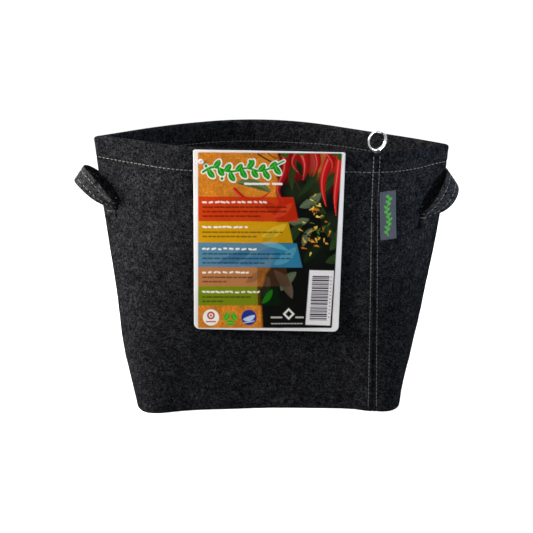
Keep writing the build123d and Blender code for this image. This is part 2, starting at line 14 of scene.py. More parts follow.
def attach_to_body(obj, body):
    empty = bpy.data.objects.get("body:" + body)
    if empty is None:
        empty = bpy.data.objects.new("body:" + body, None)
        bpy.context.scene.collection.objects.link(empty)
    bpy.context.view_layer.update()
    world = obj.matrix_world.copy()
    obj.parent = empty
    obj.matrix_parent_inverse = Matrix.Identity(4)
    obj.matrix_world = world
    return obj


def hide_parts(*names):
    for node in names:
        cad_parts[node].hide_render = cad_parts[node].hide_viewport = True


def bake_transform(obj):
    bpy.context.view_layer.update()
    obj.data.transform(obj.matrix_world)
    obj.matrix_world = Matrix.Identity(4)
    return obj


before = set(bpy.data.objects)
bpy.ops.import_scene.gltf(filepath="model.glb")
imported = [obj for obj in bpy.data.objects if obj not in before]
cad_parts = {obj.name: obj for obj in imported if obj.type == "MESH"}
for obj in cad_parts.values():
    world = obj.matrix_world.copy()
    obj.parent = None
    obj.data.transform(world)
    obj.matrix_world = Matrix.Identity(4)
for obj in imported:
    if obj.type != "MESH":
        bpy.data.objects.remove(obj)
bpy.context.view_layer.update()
scene = bpy.context.scene
MM = 0.001
Y_AXIS, Z_AXIS = np.array([0, 1.0, 0]), np.array([0, 0, 1.0])

# ---------------------------------------------------------------- bag dimensions
BAG_H = 236.2
LEAN_X, LEAN_Y = 0.0226, 0.027      # slope of the rim along x and y
FELT = 2.5                          # thickness of one ply
HEM_DEPTH = 26.0                    # turned-in hem, below the rim
STITCH_DROP = 19.5                  # hem stitching, below the rim
STITCH_T = 1 - STITCH_DROP / BAG_H
RING_X = 87.7                       # the split ring's place on the rim

# (x, y) from the left crease to the right one, at the rim and at the foot
RIM = {
    "front": [(-150, -29.5), (-128, -36.5), (-100, -47), (-72, -56), (-36, -58.6), (0, -58.8),
              (36, -59), (72, -59.2), (98, -56.5), (125, -43.5), (150.5, -30.5)],
    "back": [(-150, -29.5), (-127, -12), (-100, 8.5), (-68, 25.3), (-34, 35.6), (0, 38.2),
             (34, 32.6), (66, 19.6), (98, 2.2), (126, -14), (150.5, -30.5)]}
FOOT = {
    "front": [(-119, -50), (-118.2, -68), (-113.4, -74.9), (-82, -75), (-42, -71), (0, -68.5),
              (42, -69), (80, -72), (109.6, -72.2), (114.6, -65.6), (115.5, -47)],
    "back": [(-119, -50), (-119.5, -25), (-113, 7), (-94, 40), (-55, 64.5), (0, 73),
             (54, 64.5), (91, 41), (110.5, 9), (117, -22), (115.5, -47)]}
# (t, share of the rim outline in the mix with the foot outline)
BLEND = [(0, 0), (.02, .04), (.05, .095), (.09, .165), (.16, .267), (.23, .347), (.3, .424),
         (.44, .553), (.58, .686), (.72, .815), (.86, .915), (1, 1)]
# (t, shift in x at the left or right side)
SHIFT_LEFT = [(0, .5), (.05, -.4), (.11, -1.5), (.18, -2.4), (.27, -2.5), (.38, -1.6),
              (.5, -.6), (.62, 0), (.75, .1), (.88, -.2), (1, -.4)]
SHIFT_RIGHT = [(0, 0), (.05, -.3), (.11, -.2), (.18, .1), (.27, .5), (.38, 1.3),
               (.5, 2.2), (.62, 2.5), (.75, 2.3), (.88, 2.0), (1, 1.3)]

# x of the front seam's two rows of thread at the levels SEAM_T
SEAM_T = (0, .22, .44, .64, .79, .9, 1)
SEAM_ROWS = ((86.9, 86.4, 85.8, 85.1, 84.6, 84.6, 84.8), (94.1, 92.9, 91.7, 90.5, 89.8, 89.8, 90.1))
SEAM_EDGE = 2.2                     # upper ply's edge, right of the left row

SLITS = {"left": (-132.7, 177.6), "right": (129.6, 171.8)}      # (x, z), front and back alike
OUTWARD = {"front": 1, "back": -1}


# ---------------------------------------------------------------- curves
def unit(vectors):
    vectors = np.asarray(vectors, float)
    return vectors / np.linalg.norm(vectors, axis=-1, keepdims=True)


def arc_lengths(points):
    return np.r_[0, np.cumsum(np.linalg.norm(np.diff(points, axis=0), axis=1))]


def tangents(curve):
    return unit(np.gradient(curve, axis=0))


def bell(offset, width):
    return np.exp(-(offset / width) ** 2)


def ease(x, start, end):
    f = np.clip((x - start) / (end - start), 0, 1)
    return f * f * (3 - 2 * f)


def blur(values, taps, **padding):
    kernel = np.exp(-np.linspace(-2, 2, taps) ** 2)
    return np.convolve(np.pad(values, taps // 2, **padding), kernel / kernel.sum(), "valid")


MIRRORED = {"mode": "reflect", "reflect_type": "odd"}


def smooth_table(rows):
    """The table on a fine grid, softened so that nothing kinks between its rows."""
    levels = np.linspace(0, 1, 401)
    values = np.interp(levels, *zip(*rows))
    return levels, blur(values, 41, **MIRRORED)


def natural_cubic(points, count):
    """A natural cubic spline through the points, at count places evenly along their chords."""
    p = np.array(points, float)
    chord = arc_lengths(p)
    gap = np.diff(chord)
    last = len(p) - 1
    system = np.zeros((last + 1, last + 1))
    right = np.zeros(p.shape)
    system[0, 0] = system[-1, -1] = 1
    for i in range(1, last):
        system[i, i - 1:i + 2] = gap[i - 1], 2 * (gap[i - 1] + gap[i]), gap[i]
        right[i] = 6 * ((p[i + 1] - p[i]) / gap[i] - (p[i] - p[i - 1]) / gap[i - 1])
    bend = np.linalg.solve(system, right)
    at = np.linspace(0, chord[-1], count)
    j = np.clip(np.searchsorted(chord, at, "right") - 1, 0, last - 1)
    ahead, behind, h = (chord[j + 1] - at)[:, None], (at - chord[j])[:, None], gap[j][:, None]
    return ((bend[j] * ahead ** 3 + bend[j + 1] * behind ** 3) / (6 * h)
            + (p[j] / h - bend[j] * h / 6) * ahead
            + (p[j + 1] / h - bend[j + 1] * h / 6) * behind)


# ---------------------------------------------------------------- bag outline
BLEND_FINE, LEFT_FINE, RIGHT_FINE = map(smooth_table, (BLEND, SHIFT_LEFT, SHIFT_RIGHT))
_outlines = {}


def outline(t, face):
    """Outer face at level t: its curve, arc lengths and tangents, from left to right."""
    t = min(max(t, 0.0), 1.0)
    key = (round(t, 4), face)
    if key not in _outlines:
        share = np.interp(t, *BLEND_FINE)
        points = []
        for (rim_x, rim_y), (foot_x, foot_y) in zip(RIM[face], FOOT[face]):
            x = share * rim_x + (1 - share) * foot_x
            y = share * rim_y + (1 - share) * foot_y
            shift = np.interp(t, *(LEFT_FINE if x < 0 else RIGHT_FINE))
            points.append((x + shift * min(abs(x) / 110.0, 1.0) ** 2, y))
        curve = natural_cubic(points, 321)
        _outlines[key] = (curve, arc_lengths(curve), tangents(curve))
    return _outlines[key]


def level_z(t, x, y):
    return BAG_H * t - LEAN_X * t * x + LEAN_Y * t * (y + 10)


def outward(tangent, face):
    return OUTWARD[face] * np.stack([tangent[..., 1], -tangent[..., 0]], -1)


def at_x(t, face, x):
    """Point, tangent and arc length where the outline crosses x."""
    curve, arcs, tangent = outline(t, face)
    # low on the front the ends of the outline double back, so they are left out
    low, high = (26, 300) if face == "front" and t < .5 else (0, len(curve))
    xs = curve[low:high, 0]
    i = int(np.clip(np.searchsorted(xs, x) - 1, 0, len(xs) - 2)) + low
    f = (x - curve[i, 0]) / (curve[i + 1, 0] - curve[i, 0])
    return curve[i] * (1 - f) + curve[i + 1] * f, tangent[i], arcs[i] * (1 - f) + arcs[i + 1] * f


def along(t, face, arc):
    """Point and tangent at an arc length, or at many."""
    curve, arcs, tangent = outline(t, face)
    point, direction = (np.stack([np.interp(arc, arcs, table[:, k]) for k in (0, 1)], -1)
                        for table in (curve, tangent))
    return point, unit(direction)


def wall_at(face, x, z):
    """Point and tangent of the outer surface at x, z."""
    t = z / BAG_H
    for _ in range(12):
        point, tangent, _arc = at_x(t, face, x)
        t += (z - level_z(t, *point)) / BAG_H
    return point, tangent


def inset_span(t, face, inset):
    """Arc lengths between which a line lies that runs inset inside the outline."""
    front, back = outline(t, "front")[2], outline(t, "back")[2]
    left, right = [max(math.acos(np.clip(front[i] @ back[i], -1, 1)) / 2, .3) for i in (1, -2)]
    return inset / math.tan(left), outline(t, face)[1][-1] - inset / math.tan(right)


def seam_x(t, row):
    return float(np.interp(t, SEAM_T, SEAM_ROWS[row]))


def seam_edge_arc(t):
    return at_x(t, "front", seam_x(t, 0) + SEAM_EDGE)[2]


def hem_depth(x):
    """How far the hem's stitching runs below the rim; it rises towards the creases."""
    right, reach = np.asarray(x) > 0, np.abs(x)
    return (STITCH_DROP - np.where(right, 2.2 * ease(x, 15, 75), .9 * ease(reach, 82, 122))
            - np.where(right, 2.3, 1.2) * ease(reach, 118, 150))


def seam_profile(from_edge, right_row):
    """Lift of the outer face across the seam: the left ply lies over the right one."""
    lap = .95 * (from_edge <= .05) * np.clip((from_edge + 15) / 9, 0, 1)
    groove = -.42 * bell(from_edge - .55, .45)
    rows = -.40 * bell(from_edge + SEAM_EDGE, .95) - .34 * bell(from_edge - right_row, .95)
    return lap + groove + rows


def noise_at(p, scale, seed):
    return noise.noise(Vector((p[0] / scale + seed, p[1] / scale - seed * .7,
                               p[2] / scale + seed * 1.3)))


def slow_waves(p):
    """Slow waves in the felt, calmer where the card lies on it."""
    waves = noise_at(p, 58, 3.1) + noise_at(p, 24, 9.7) * .42
    calm = min(max((72 - abs(p[0])) / 10, 0), 1) * min(max((p[2] - 150) / 40, 0), 1) * (p[1] < -30)
    return waves * (1 - .72 * calm) - .15 * calm


# ---------------------------------------------------------------- mesh helpers
def new_object(name, verts, faces, material, uv=None):
    mesh = bpy.data.meshes.new(name)
    verts = np.asarray(verts, float) * MM
    mesh.from_pydata(verts.tolist(), [], faces)
    mesh.validate()
    mesh.polygons.foreach_set("use_smooth", [True] * len(mesh.polygons))
    rest = mesh.attributes.new("rest_co", "FLOAT_VECTOR", "POINT")
    rest.data.foreach_set("vector", verts.astype(np.float32).ravel())
    part = bpy.data.objects.new(name, mesh)
    scene.collection.objects.link(part)
    mesh.materials.append(material)
    if uv is not None:
        layer = mesh.uv_layers.new(name="UVMap")
        corners = np.zeros(len(mesh.loops), int)
        mesh.loops.foreach_get("vertex_index", corners)
        layer.data.foreach_set("uv", np.asarray(uv, np.float32)[corners].ravel())
    mesh.update()
    return part


def set_art(part, colours):
    art = part.data.attributes.new("art", "FLOAT_COLOR", "POINT")
    rgba_rows = np.c_[colours, np.ones(len(colours))]
    art.data.foreach_set("color", rgba_rows.astype(np.float32).ravel())


def cover(part, slot, *pieces):
    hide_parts(*pieces)


def attach(part, slot, *pieces, body="bag"):
    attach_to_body(part, body)
    cover(part, slot, *pieces)


def grid_faces(rows, cols, close_rows=False, close_cols=False):
    faces = []
    for i in range(rows if close_rows else rows - 1):
        for j in range(cols if close_cols else cols - 1):
            this, after = i * cols, (i + 1) % rows * cols
            k = (j + 1) % cols
            faces.append((this + j, this + k, after + k, after + j))
    return faces


def capped_faces(rows, sides):
    """A closed tube with a flat cap at each end."""
    return grid_faces(rows, sides, close_cols=True) + [
        tuple(range(sides))[::-1], tuple((rows - 1) * sides + k for k in range(sides))]


def sheet_faces(rows, cols):
    """Two grids back to back, joined round their edge."""
    count = rows * cols
    front = grid_faces(rows, cols)
    back = [tuple(count + i for i in face[::-1]) for face in front]
    edge = (list(range(cols)) + [i * cols + cols - 1 for i in range(1, rows)]
            + [(rows - 1) * cols + j for j in range(cols - 2, -1, -1)]
            + [i * cols for i in range(rows - 2, 0, -1)])
    return front + back + [(count + a, count + b, b, a) for a, b in zip(edge, edge[1:] + edge[:1])]


def sweep(points, u, v, radii, sides):
    """Round sections about the points, in the planes of u and v."""
    angle = np.linspace(0, 2 * math.pi, sides, endpoint=False)[None, :, None]
    spokes = u[:, None] * np.cos(angle) + v[:, None] * np.sin(angle)
    return (points[:, None] + spokes * np.reshape(radii, (-1, 1, 1))).reshape(-1, 3)


def add_threads(name, stitches, material):
    """Short threads: each is (point, tangent, normal, length, radius, arch)."""
    rings, sides = 7, 8
    verts, faces = [], []
    for point, tangent, normal, length, radius, arch in stitches:
        point, tangent, normal = np.asarray(point), unit(tangent), np.array(normal, float)
        normal = unit(normal - tangent * (tangent @ normal))
        across = np.cross(tangent, normal)
        base = len(verts)
        for i in range(rings):
            a = -1 + 2 * (i + .5) / rings
            centre = point + tangent * a * length / 2 + normal * arch * (1 - a * a)
            # plied thread: gentle swellings along a stitch
            r = radius * math.sqrt(max(1 - abs(a) ** 5, .05)) * (1 + .07 * math.sin(a * 9))
            for k in range(sides):
                g = 2 * math.pi * k / sides + a * .9
                verts.append(centre + normal * r * math.cos(g) * .85
                             + across * r * math.sin(g) * 1.1)
        verts += [point - tangent * length / 2 * .99, point + tangent * length / 2 * .99]
        faces += [tuple(base + i for i in face)
                  for face in grid_faces(rings, sides, close_cols=True)]
        start_tip, end_tip = base + rings * sides, base + rings * sides + 1
        last = start_tip - sides
        for k in range(sides):
            after = (k + 1) % sides
            faces += [(start_tip, base + after, base + k), (end_tip, last + k, last + after)]
    return new_object(name, verts, faces, material)


# ---------------------------------------------------------------- shader helpers
def rgba(colour):
    """A grey value or an RGB colour as RGBA."""
    return (colour,) * 3 + (1,) if isinstance(colour, (int, float)) else (*colour, 1)


class Nodes:
    """Builds a node tree; a node's inputs are given as values or as sockets to link."""

    def __init__(self, owner):
        owner.use_nodes = True
        self.tree = owner.node_tree

    def feed(self, node, inputs):
        for key, value in inputs.items():
            socket = node.inputs[key]
            if isinstance(value, bpy.types.NodeSocket):
                self.tree.links.new(value, socket)
            else:
                socket.default_value = rgba(value) if socket.type == "RGBA" else value

    def add(self, kind, inputs=None, **settings):
        node = self.tree.nodes.new("ShaderNode" + kind)
        for key, value in settings.items():
            setattr(node, key, value)
        self.feed(node, inputs or {})
        return node

    def ramp(self, source, *stops):
        """Stops are (position, grey or colour)."""
        node = self.add("ValToRGB")
        elements = node.color_ramp.elements
        while len(elements) < len(stops):
            elements.new(.5)
        for element, (position, colour) in zip(elements, stops):
            element.position = position
            element.color = rgba(colour)
        self.feed(node, {0: source})
        return node.outputs[0]

    def mix(self, factor, a, b, blend="MIX"):
        return self.add("Mix", {}, data_type="RGBA", blend_type=blend) and self._mixed(factor, a, b)

    def _mixed(self, factor, a, b):
        node = self.tree.nodes[-1]
        self.feed(node, {0: factor, 6: a, 7: b})
        return node.outputs[2]

    def tint(self, colour, source, *stops, factor=1.0):
        """The colour multiplied by a ramp of the source."""
        return self.mix(factor, colour, self.ramp(source, *stops), "MULTIPLY")

    def math(self, operation, a, b, clamp=False):
        return self.add("Math", {0: a, 1: b}, operation=operation, use_clamp=clamp).outputs[0]

    def product(self, a, b):
        return self.math("MULTIPLY", a, b)

    def total(self, a, b):
        return self.math("ADD", a, b)

    def noise(self, place, scale, detail=3.0, roughness=.6, distortion=0.0, mapping=None):
        if mapping:
            place = self.add("Mapping", {0: place, **mapping}).outputs[0]
        return self.add("TexNoise", {"Scale": scale, "Detail": detail, "Roughness": roughness,
                                     "Distortion": distortion, "Vector": place}).outputs[0]


class Shader(Nodes):
    """A material with one Principled surface."""

    def __init__(self, name):
        self.material = bpy.data.materials.new(name)
        super().__init__(self.material)
        self.tree.nodes.clear()
        output = self.add("OutputMaterial")
        self.surface = self.add("BsdfPrincipled")
        self.feed(output, {0: self.surface.outputs[0]})

    def rest_mm(self):
        rest = self.add("Attribute", attribute_name="rest_co").outputs["Vector"]
        return self.add("VectorMath", {0: rest, "Scale": 1 / MM}, operation="SCALE").outputs[0]

    def art(self):
        return self.add("Attribute", attribute_name="art").outputs["Color"]

    def bump(self, height, strength, distance):
        """Distance is in metres."""
        node = self.add("Bump", {"Strength": strength, "Distance": distance, "Height": height})
        self.feed(self.surface, {"Normal": node.outputs[0]})

    def finish(self, inputs):
        self.feed(self.surface, inputs)
        return self.material


def plain_mix(self, factor, a, b, blend="MIX"):
    node = self.add("Mix", data_type="RGBA", blend_type=blend)
    # the colour sockets of a Mix node are reached by place: 6 and 7 in, 2 out
    self.feed(node, {0: factor, 6: a, 7: b})
    return node.outputs[2]


Nodes.mix = plain_mix
del Nodes._mixed


# ---------------------------------------------------------------- felt and thread materials
FIBRES = (      # (rotation, scale) of the three crossed lays of fibre
    ((.3, .2, .5), (1, .16, .3)), ((1.1, .4, 1.9), (.2, 1, .35)), ((.5, 1.3, 2.7), (.3, .18, 1)))


def felt_material(name, dark, mid, light, bump):
    """Charcoal needle-punched felt: blotches, crossed fibres and pale flecks."""
    s = Shader(name)
    place = s.rest_mm()
    blotch = s.noise(place, scale=.05, detail=4)
    patch = s.noise(place, scale=.16, detail=4, roughness=.65, distortion=.6)
    mottle = s.noise(place, scale=.42, detail=4, roughness=.72, distortion=.5)
    fleck = s.noise(place, scale=.68, roughness=.7, distortion=.8)
    fibres = None
    for turn, stretch in FIBRES:
        lay = s.noise(place, scale=1.25, detail=2.5, distortion=.5,
                      mapping={"Scale": stretch, "Rotation": turn})
        lay = s.ramp(lay, (.53, 0), (.66, 1))
        fibres = s.mix(1.0, fibres, lay, "LIGHTEN") if fibres else lay
    grain = s.noise(place, scale=2.6, detail=2, roughness=.8)
    colour = s.ramp(mottle, (.42, dark), (.51, mid), (.60, light))
    flecks = s.ramp(fleck, (.50, 0), (.62, 1))
    colour = s.mix(s.product(flecks, .72), colour, [v * 2.1 for v in light])
    colour = s.mix(.32, colour, s.mix(fibres, dark, [v * 2.4 for v in light]))
    pits = s.noise(place, scale=.8, roughness=.7)
    colour = s.tint(colour, pits, (.34, (.25, .25, .28)), (.47, 1), factor=.8)
    colour = s.tint(colour, grain, (.36, .30), (.5, 1), (.64, (2.3, 2.3, 2.25)), factor=.62)
    colour = s.tint(colour, patch, (.34, (.52, .53, .56)), (.66, (1.48, 1.48, 1.45)), factor=.9)
    colour = s.tint(colour, blotch, (.3, (.78, .79, .83)), (.7, (1.16, 1.16, 1.13)), factor=.7)
    height = s.total(s.product(mottle, .8), s.product(grain, .45))
    s.bump(s.total(height, s.product(fibres, .3)), strength=bump, distance=.0007)
    return s.finish({"Base Color": colour, "Roughness": .96, "Specular IOR Level": 0,
                     "Sheen Weight": .015, "Sheen Roughness": .6, "Sheen Tint": (.55, .60, .70)})


def thread_material(name, colour, variation=.25):
    s = Shader(name)
    place = s.rest_mm()
    fine = s.noise(place, scale=2.2)
    broad = s.noise(place, scale=.12, detail=2, roughness=.5)
    tone = s.tint(colour, fine, (.3, 1 - variation), (.7, 1 + variation))
    tone = s.tint(tone, broad, (.35, .72), (.65, 1.12))
    # painted shade: thread lower on the bag is darker, up to 150 mm above z = 30
    z = s.add("SeparateXYZ", {0: place}).outputs["Z"]
    height = s.math("MULTIPLY", s.math("SUBTRACT", z, 30.0), 1 / 150.0, clamp=True)
    tone = s.tint(tone, height, (0, (.42, .43, .46)), (1, 1))
    wave = s.add("TexWave", {"Scale": 2.2, "Distortion": 1.5, "Vector": place})
    s.bump(wave.outputs[1], strength=.4, distance=.0001)
    return s.finish({"Base Color": tone, "Roughness": .62, "Sheen Weight": .2})


FELT_MAT = felt_material("felt", dark=(.0009, .0010, .0014), mid=(.0038, .0041, .0051),
                         light=(.0178, .0184, .0208), bump=.6)
# painted light: the straps and the lobe take a lighter copy of the same felt, so they show as bright as
# the lit wall
STRAP_LIT_FELT_MAT = felt_material("strap_felt", dark=(.0022, .0024, .0031), mid=(.0085, .0090, .0106),
                          light=(.032, .0325, .0350), bump=.5)
THREAD_MAT = thread_material("thread", (.105, .104, .092), variation=.35)
# painted shade: a darker copy of the thread for the row inside the hem
THREAD_SHADED = thread_material("thread_shaded", (.030, .030, .029), variation=.35)
DARK_THREAD = thread_material("dark_thread", (.035, .036, .04))


# ---------------------------------------------------------------- felt wall and hem, one sheet
def spaced(length, features, coarse, fine=.42, growth=.13):
    """Positions 0..1 along a length, closer together near the features."""
    places, x = [0.0], 0.0
    while x < length:
        near = min(abs(x - f) for f in features)
        x += min(fine + growth * max(near - 2.0, 0), coarse)
        places.append(x)
    return np.array(places) / places[-1]


def wall_columns(t=.745):
    """Column spacing left of the front seam, right of it and across the back."""
    front, back = [outline(t, face)[1][-1] for face in OUTWARD]
    edge = seam_edge_arc(t)
    slit_arcs = {(face, side): at_x(t, face, SLITS[side][0])[2]
                 for face in OUTWARD for side in SLITS}
    left = spaced(edge, [0, slit_arcs["front", "left"], edge - SEAM_EDGE, edge], coarse=1.9)
    right_slit = slit_arcs["front", "right"] - edge
    right = spaced(front - edge, [0, 4.0, right_slit, front - edge], coarse=1.7)
    back_slits = [slit_arcs["back", side] for side in SLITS]
    return left, right, spaced(back, [0, back, *back_slits], coarse=2.4)


LEFT_COLUMNS, RIGHT_COLUMNS, BACK_COLUMNS = wall_columns()
FRONT_COUNT = len(LEFT_COLUMNS) + len(RIGHT_COLUMNS) - 1
CREASES = (0, FRONT_COUNT - 1)


def soften_creases(xy):
    """Rounds the creases of a closed loop over a few millimetres."""
    reach, side = 2.0, 22
    for crease in CREASES:
        near = [(crease + k) % len(xy) for k in range(-side, side + 1)]
        p = xy[near].copy()
        weight = bell(np.linalg.norm(p - p[side], axis=1), reach)[:, None]
        for _ in range(6):
            p[1:-1] = p[1:-1] + weight[1:-1] * .5 * ((p[:-2] + p[2:]) / 2 - p[1:-1])
        xy[near] = p


def ring(t, inset):
    """Closed loop of wall points: xy, normals, arc lengths, distance from the seam, back flag."""
    parts = []
    for face in OUTWARD:
        start, end = inset_span(t, face, inset)
        if face == "front":
            edge = seam_edge_arc(t)
            arc = np.r_[start + (edge - start) * LEFT_COLUMNS,
                        (edge + (end - edge) * RIGHT_COLUMNS)[1:]]
            from_seam, keep = arc - edge, slice(None)
        else:
            arc = (start + (end - start) * BACK_COLUMNS)[::-1]
            from_seam, keep = np.full(len(arc), 999.0), slice(1, -1)
        point, tangent = along(t, face, arc)
        normal = outward(tangent, face)
        back = np.full(len(arc), face == "back", float)
        parts.append([v[keep] for v in (point - normal * inset, normal, arc, from_seam, back)])
    xy, normal, arc, from_seam, back = map(np.concatenate, zip(*parts))
    # where front and back meet, take the mean normal
    for i in CREASES:
        normal[i] = unit(normal[i + 1 if i == 0 else i - 1] + normal[i - 1 if i == 0 else i + 1])
    soften_creases(xy)
    return xy, normal, arc, from_seam, back


def wall_rows():
    """(z, inset, zone) from under the wall's foot, up outside, over the rim and down inside."""
    rows = [(1.2, 2.45, "in"), (.35, 2.0, "in"), (.05, 1.3, "out"), (.25, .6, "out"),
            (.8, .15, "out"), (1.8, 0, "out")]
    z, stitching = 3.0, BAG_H - STITCH_DROP
    while z < BAG_H - 3.2:
        rows.append((z, 0, "out"))
        z += .5 if -1.8 < z - stitching < 4.6 else (1.5 if abs(z - 174) < 16 else 1.9)
    for k in range(13):
        a = math.pi * k / 12
        rows.append((BAG_H - FELT + FELT * math.sin(a), FELT - FELT * math.cos(a), "rim"))
    z = BAG_H - 3.6
    while z > BAG_H - 24.8:
        rows.append((z, 2 * FELT, "hem"))
        z -= .55 if -1.8 < z - stitching < 4.6 else 1.7
    hem = BAG_H - HEM_DEPTH
    rows += [(hem + .5, 5.15, "hem"), (hem + .05, 5.0, "hem"), (hem - .1, 4.5, "hem"),
             (hem + .15, 3.6, "hem"), (hem + 1.3, 2.75, "gap"), (hem - .2, FELT, "in")]
    z = hem - 2.2
    while z > 4:
        rows.append((z, FELT, "in"))
        z -= 1.9 if abs(z - 174) < 14 else 4.2
    return rows + [(2.6, FELT, "in")]


def wall_relief(z, inset, zone, x, from_seam):
    """Pressed-in threads and the seam's lap, along the outward normal."""
    outer = zone in ("out", "rim")
    relief = np.zeros(len(x))
    if zone != "rim":
        thread_row = -.50 * bell(z - (BAG_H - hem_depth(x)), 1.15)
        relief += thread_row if outer else -thread_row * .8
        if outer and z > 8:
            relief -= .22 * bell(z - (BAG_H - 24.5), 3.0)
    t = z / BAG_H
    if outer:
        fade = 1.0 if zone == "out" else max(0.0, math.cos(inset / (2 * FELT) * math.pi / 2)) * .6
        relief += seam_profile(from_seam, seam_x(t, 1) - seam_x(t, 0) - SEAM_EDGE) * fade
    elif zone == "in":
        relief -= 1.7 * ((from_seam > -9) & (from_seam < 11))
    elif zone == "hem":
        relief -= .8 * np.exp(-((from_seam - 1) / 7) ** 4)
    return relief


def press_slits(xy, normal, zs, back):
    """Narrow mouths in the outer face, the felt drawn in round them."""
    for slit_x, slit_z in SLITS.values():
        for flag in (0, 1):
            dx, dz = xy[:, 0] - slit_x, np.abs(zs - slit_z)
            near = (np.abs(dx) < 9) & (back == flag)
            mouth = near & (dz < 8.4) & (np.abs(dx) < .75)
            lip = near * bell(np.maximum(dz - 7.5, 0), 2.0) * bell(dx, 3.0)
            xy -= normal * (.55 * lip + 1.25 * mouth)[:, None]


def wall_row(z, inset, zone):
    t = z / BAG_H
    xy, normal, arc, from_seam, back = ring(t, inset)
    zs = level_z(t, xy[:, 0], xy[:, 1])
    lift = wall_relief(z, inset, zone, xy[:, 0], from_seam)
    slow_share = min(z / 25.0, 1.0) * (.8 if zone == "rim" else 1.0)
    lift += [noise_at(p, 7.5, 5.5) * .16 + noise_at(p, 2.6, 1.5) * .10
             + slow_waves(p) * slow_share for p in np.c_[xy, zs]]
    xy += normal * lift[:, None]
    if zone in ("out", "rim") and abs(z - 174.5) < 16:
        press_slits(xy, normal, zs, back)
    # rim pressed down where the ring is bound on
    if zone in ("rim", "out", "hem") and z > BAG_H - 14:
        depth = 1.35 * min((z - (BAG_H - 14)) / 12, 1)
        zs = zs - depth * bell(xy[:, 0] - RING_X, 4.6) * (back == 0)
    # slow rise and fall along the rim
    zs = zs + .35 * np.sin(xy[:, 0] / 27.0 + back * 1.7) * max(t - .8, 0) / .2
    if z < 2:
        zs = np.full(len(xy), z)
    return np.c_[xy, zs], np.c_[arc / 300.0, np.full(len(xy), t)]


# y of the outer wall at each slit
SLIT_Y = {(side, face): wall_at(face, *SLITS[side])[0][1] for side in SLITS for face in OUTWARD}

wall_verts, wall_uvs = zip(*[wall_row(*row) for row in wall_rows()])
wall = new_object("felt_wall", np.vstack(wall_verts),
                  grid_faces(len(wall_verts), len(wall_verts[0]), close_rows=True, close_cols=True),
                  FELT_MAT, uv=np.vstack(wall_uvs))
attach(wall, "felt", "wall_panel")

# ---------------------------------------------------------------- base felt, edge turned up inside
BASE_SIDES = 220
BASE_CENTRE = (0.0, -3.0)
BASE_PROFILE = [    # (inset, z) from the lower edge, over the upturned edge and down to the floor
    (2.0, 2.2), (2.35, 5), (2.75, 9), (2.75, 11.4), (3.3, 12.1), (4.6, 12.2), (5.15, 11.4),
    (5.2, 8.2), (5.25, 5.5), (5.6, 3.7), (7.0, 2.75)]


def base_loop(t, inset, z):
    parts = []
    for face in OUTWARD:
        arc = np.linspace(2.0, outline(t, face)[1][-1] - 2.0, BASE_SIDES // 2)
        point, tangent = along(t, face, arc[::OUTWARD[face]])
        parts.append(point - outward(tangent, face) * inset)
    p = np.vstack(parts)
    for _ in range(6):
        p = p * .5 + (np.roll(p, 1, 0) + np.roll(p, -1, 0)) * .25
    return np.c_[p, np.full(len(p), z)]


def shrunk(loop, step, z):
    """The loop drawn towards the base's centre, in 26 steps."""
    xy = BASE_CENTRE + (loop[:, :2] - BASE_CENTRE) * (1 - step / 26.0)
    return np.c_[xy, np.full(len(loop), z)]


def felt_base():
    n = BASE_SIDES
    top = [base_loop(z / BAG_H, inset, z) for inset, z in BASE_PROFILE]
    floor_edge = base_loop(0, 7.0, 2.75)
    top += [shrunk(floor_edge, k, 2.7) for k in range(1, 26)]
    under_edge = base_loop(0, 2.0, .45)
    under = [shrunk(under_edge, k, .35) for k in range(25, 0, -1)] + [under_edge]
    verts = np.vstack(top + under)
    for i, p in enumerate(verts):
        if i < len(top) * n:
            ripple = max(noise_at(p, 30, 2.2) * .7 + noise_at(p, 6, 4.4) * .2, -.9)
            p[2] += ripple * (1 if p[2] < 3.2 else .3)
        else:
            p[2] = max(p[2] + abs(noise_at(p, 22, 7.7)) * .35, .15)
    # the top's last loop and the underside's first are each closed by a fan
    last, rows = len(top) - 1, len(top) + len(under)
    faces = [f for f in grid_faces(rows, n, close_rows=True, close_cols=True) if f[0] // n != last]
    hub = len(verts)
    faces += [(last * n + j, last * n + (j + 1) % n, hub) for j in range(n)]
    faces += [((last + 1) * n + (j + 1) % n, (last + 1) * n + j, hub + 1) for j in range(n)]
    verts = np.vstack([verts, (*BASE_CENTRE, 2.8), (*BASE_CENTRE, .35)])
    attach(new_object("felt_base", verts, faces, FELT_MAT), "felt", "base_panel")


felt_base()

# ---------------------------------------------------------------- stitches on the bag
rng = np.random.default_rng(7)


def on_felt(t, face, arc, lift):
    """Point, tangent and normal in space, lift above the waving felt."""
    point, tangent = along(t, face, arc)
    normal = outward(tangent, face)
    z = level_z(t, *point)
    place = point + normal * (lift + slow_waves((*point, z)))
    return np.r_[place, z], np.r_[tangent, -LEAN_X * tangent[0] * t], np.r_[normal, 0]


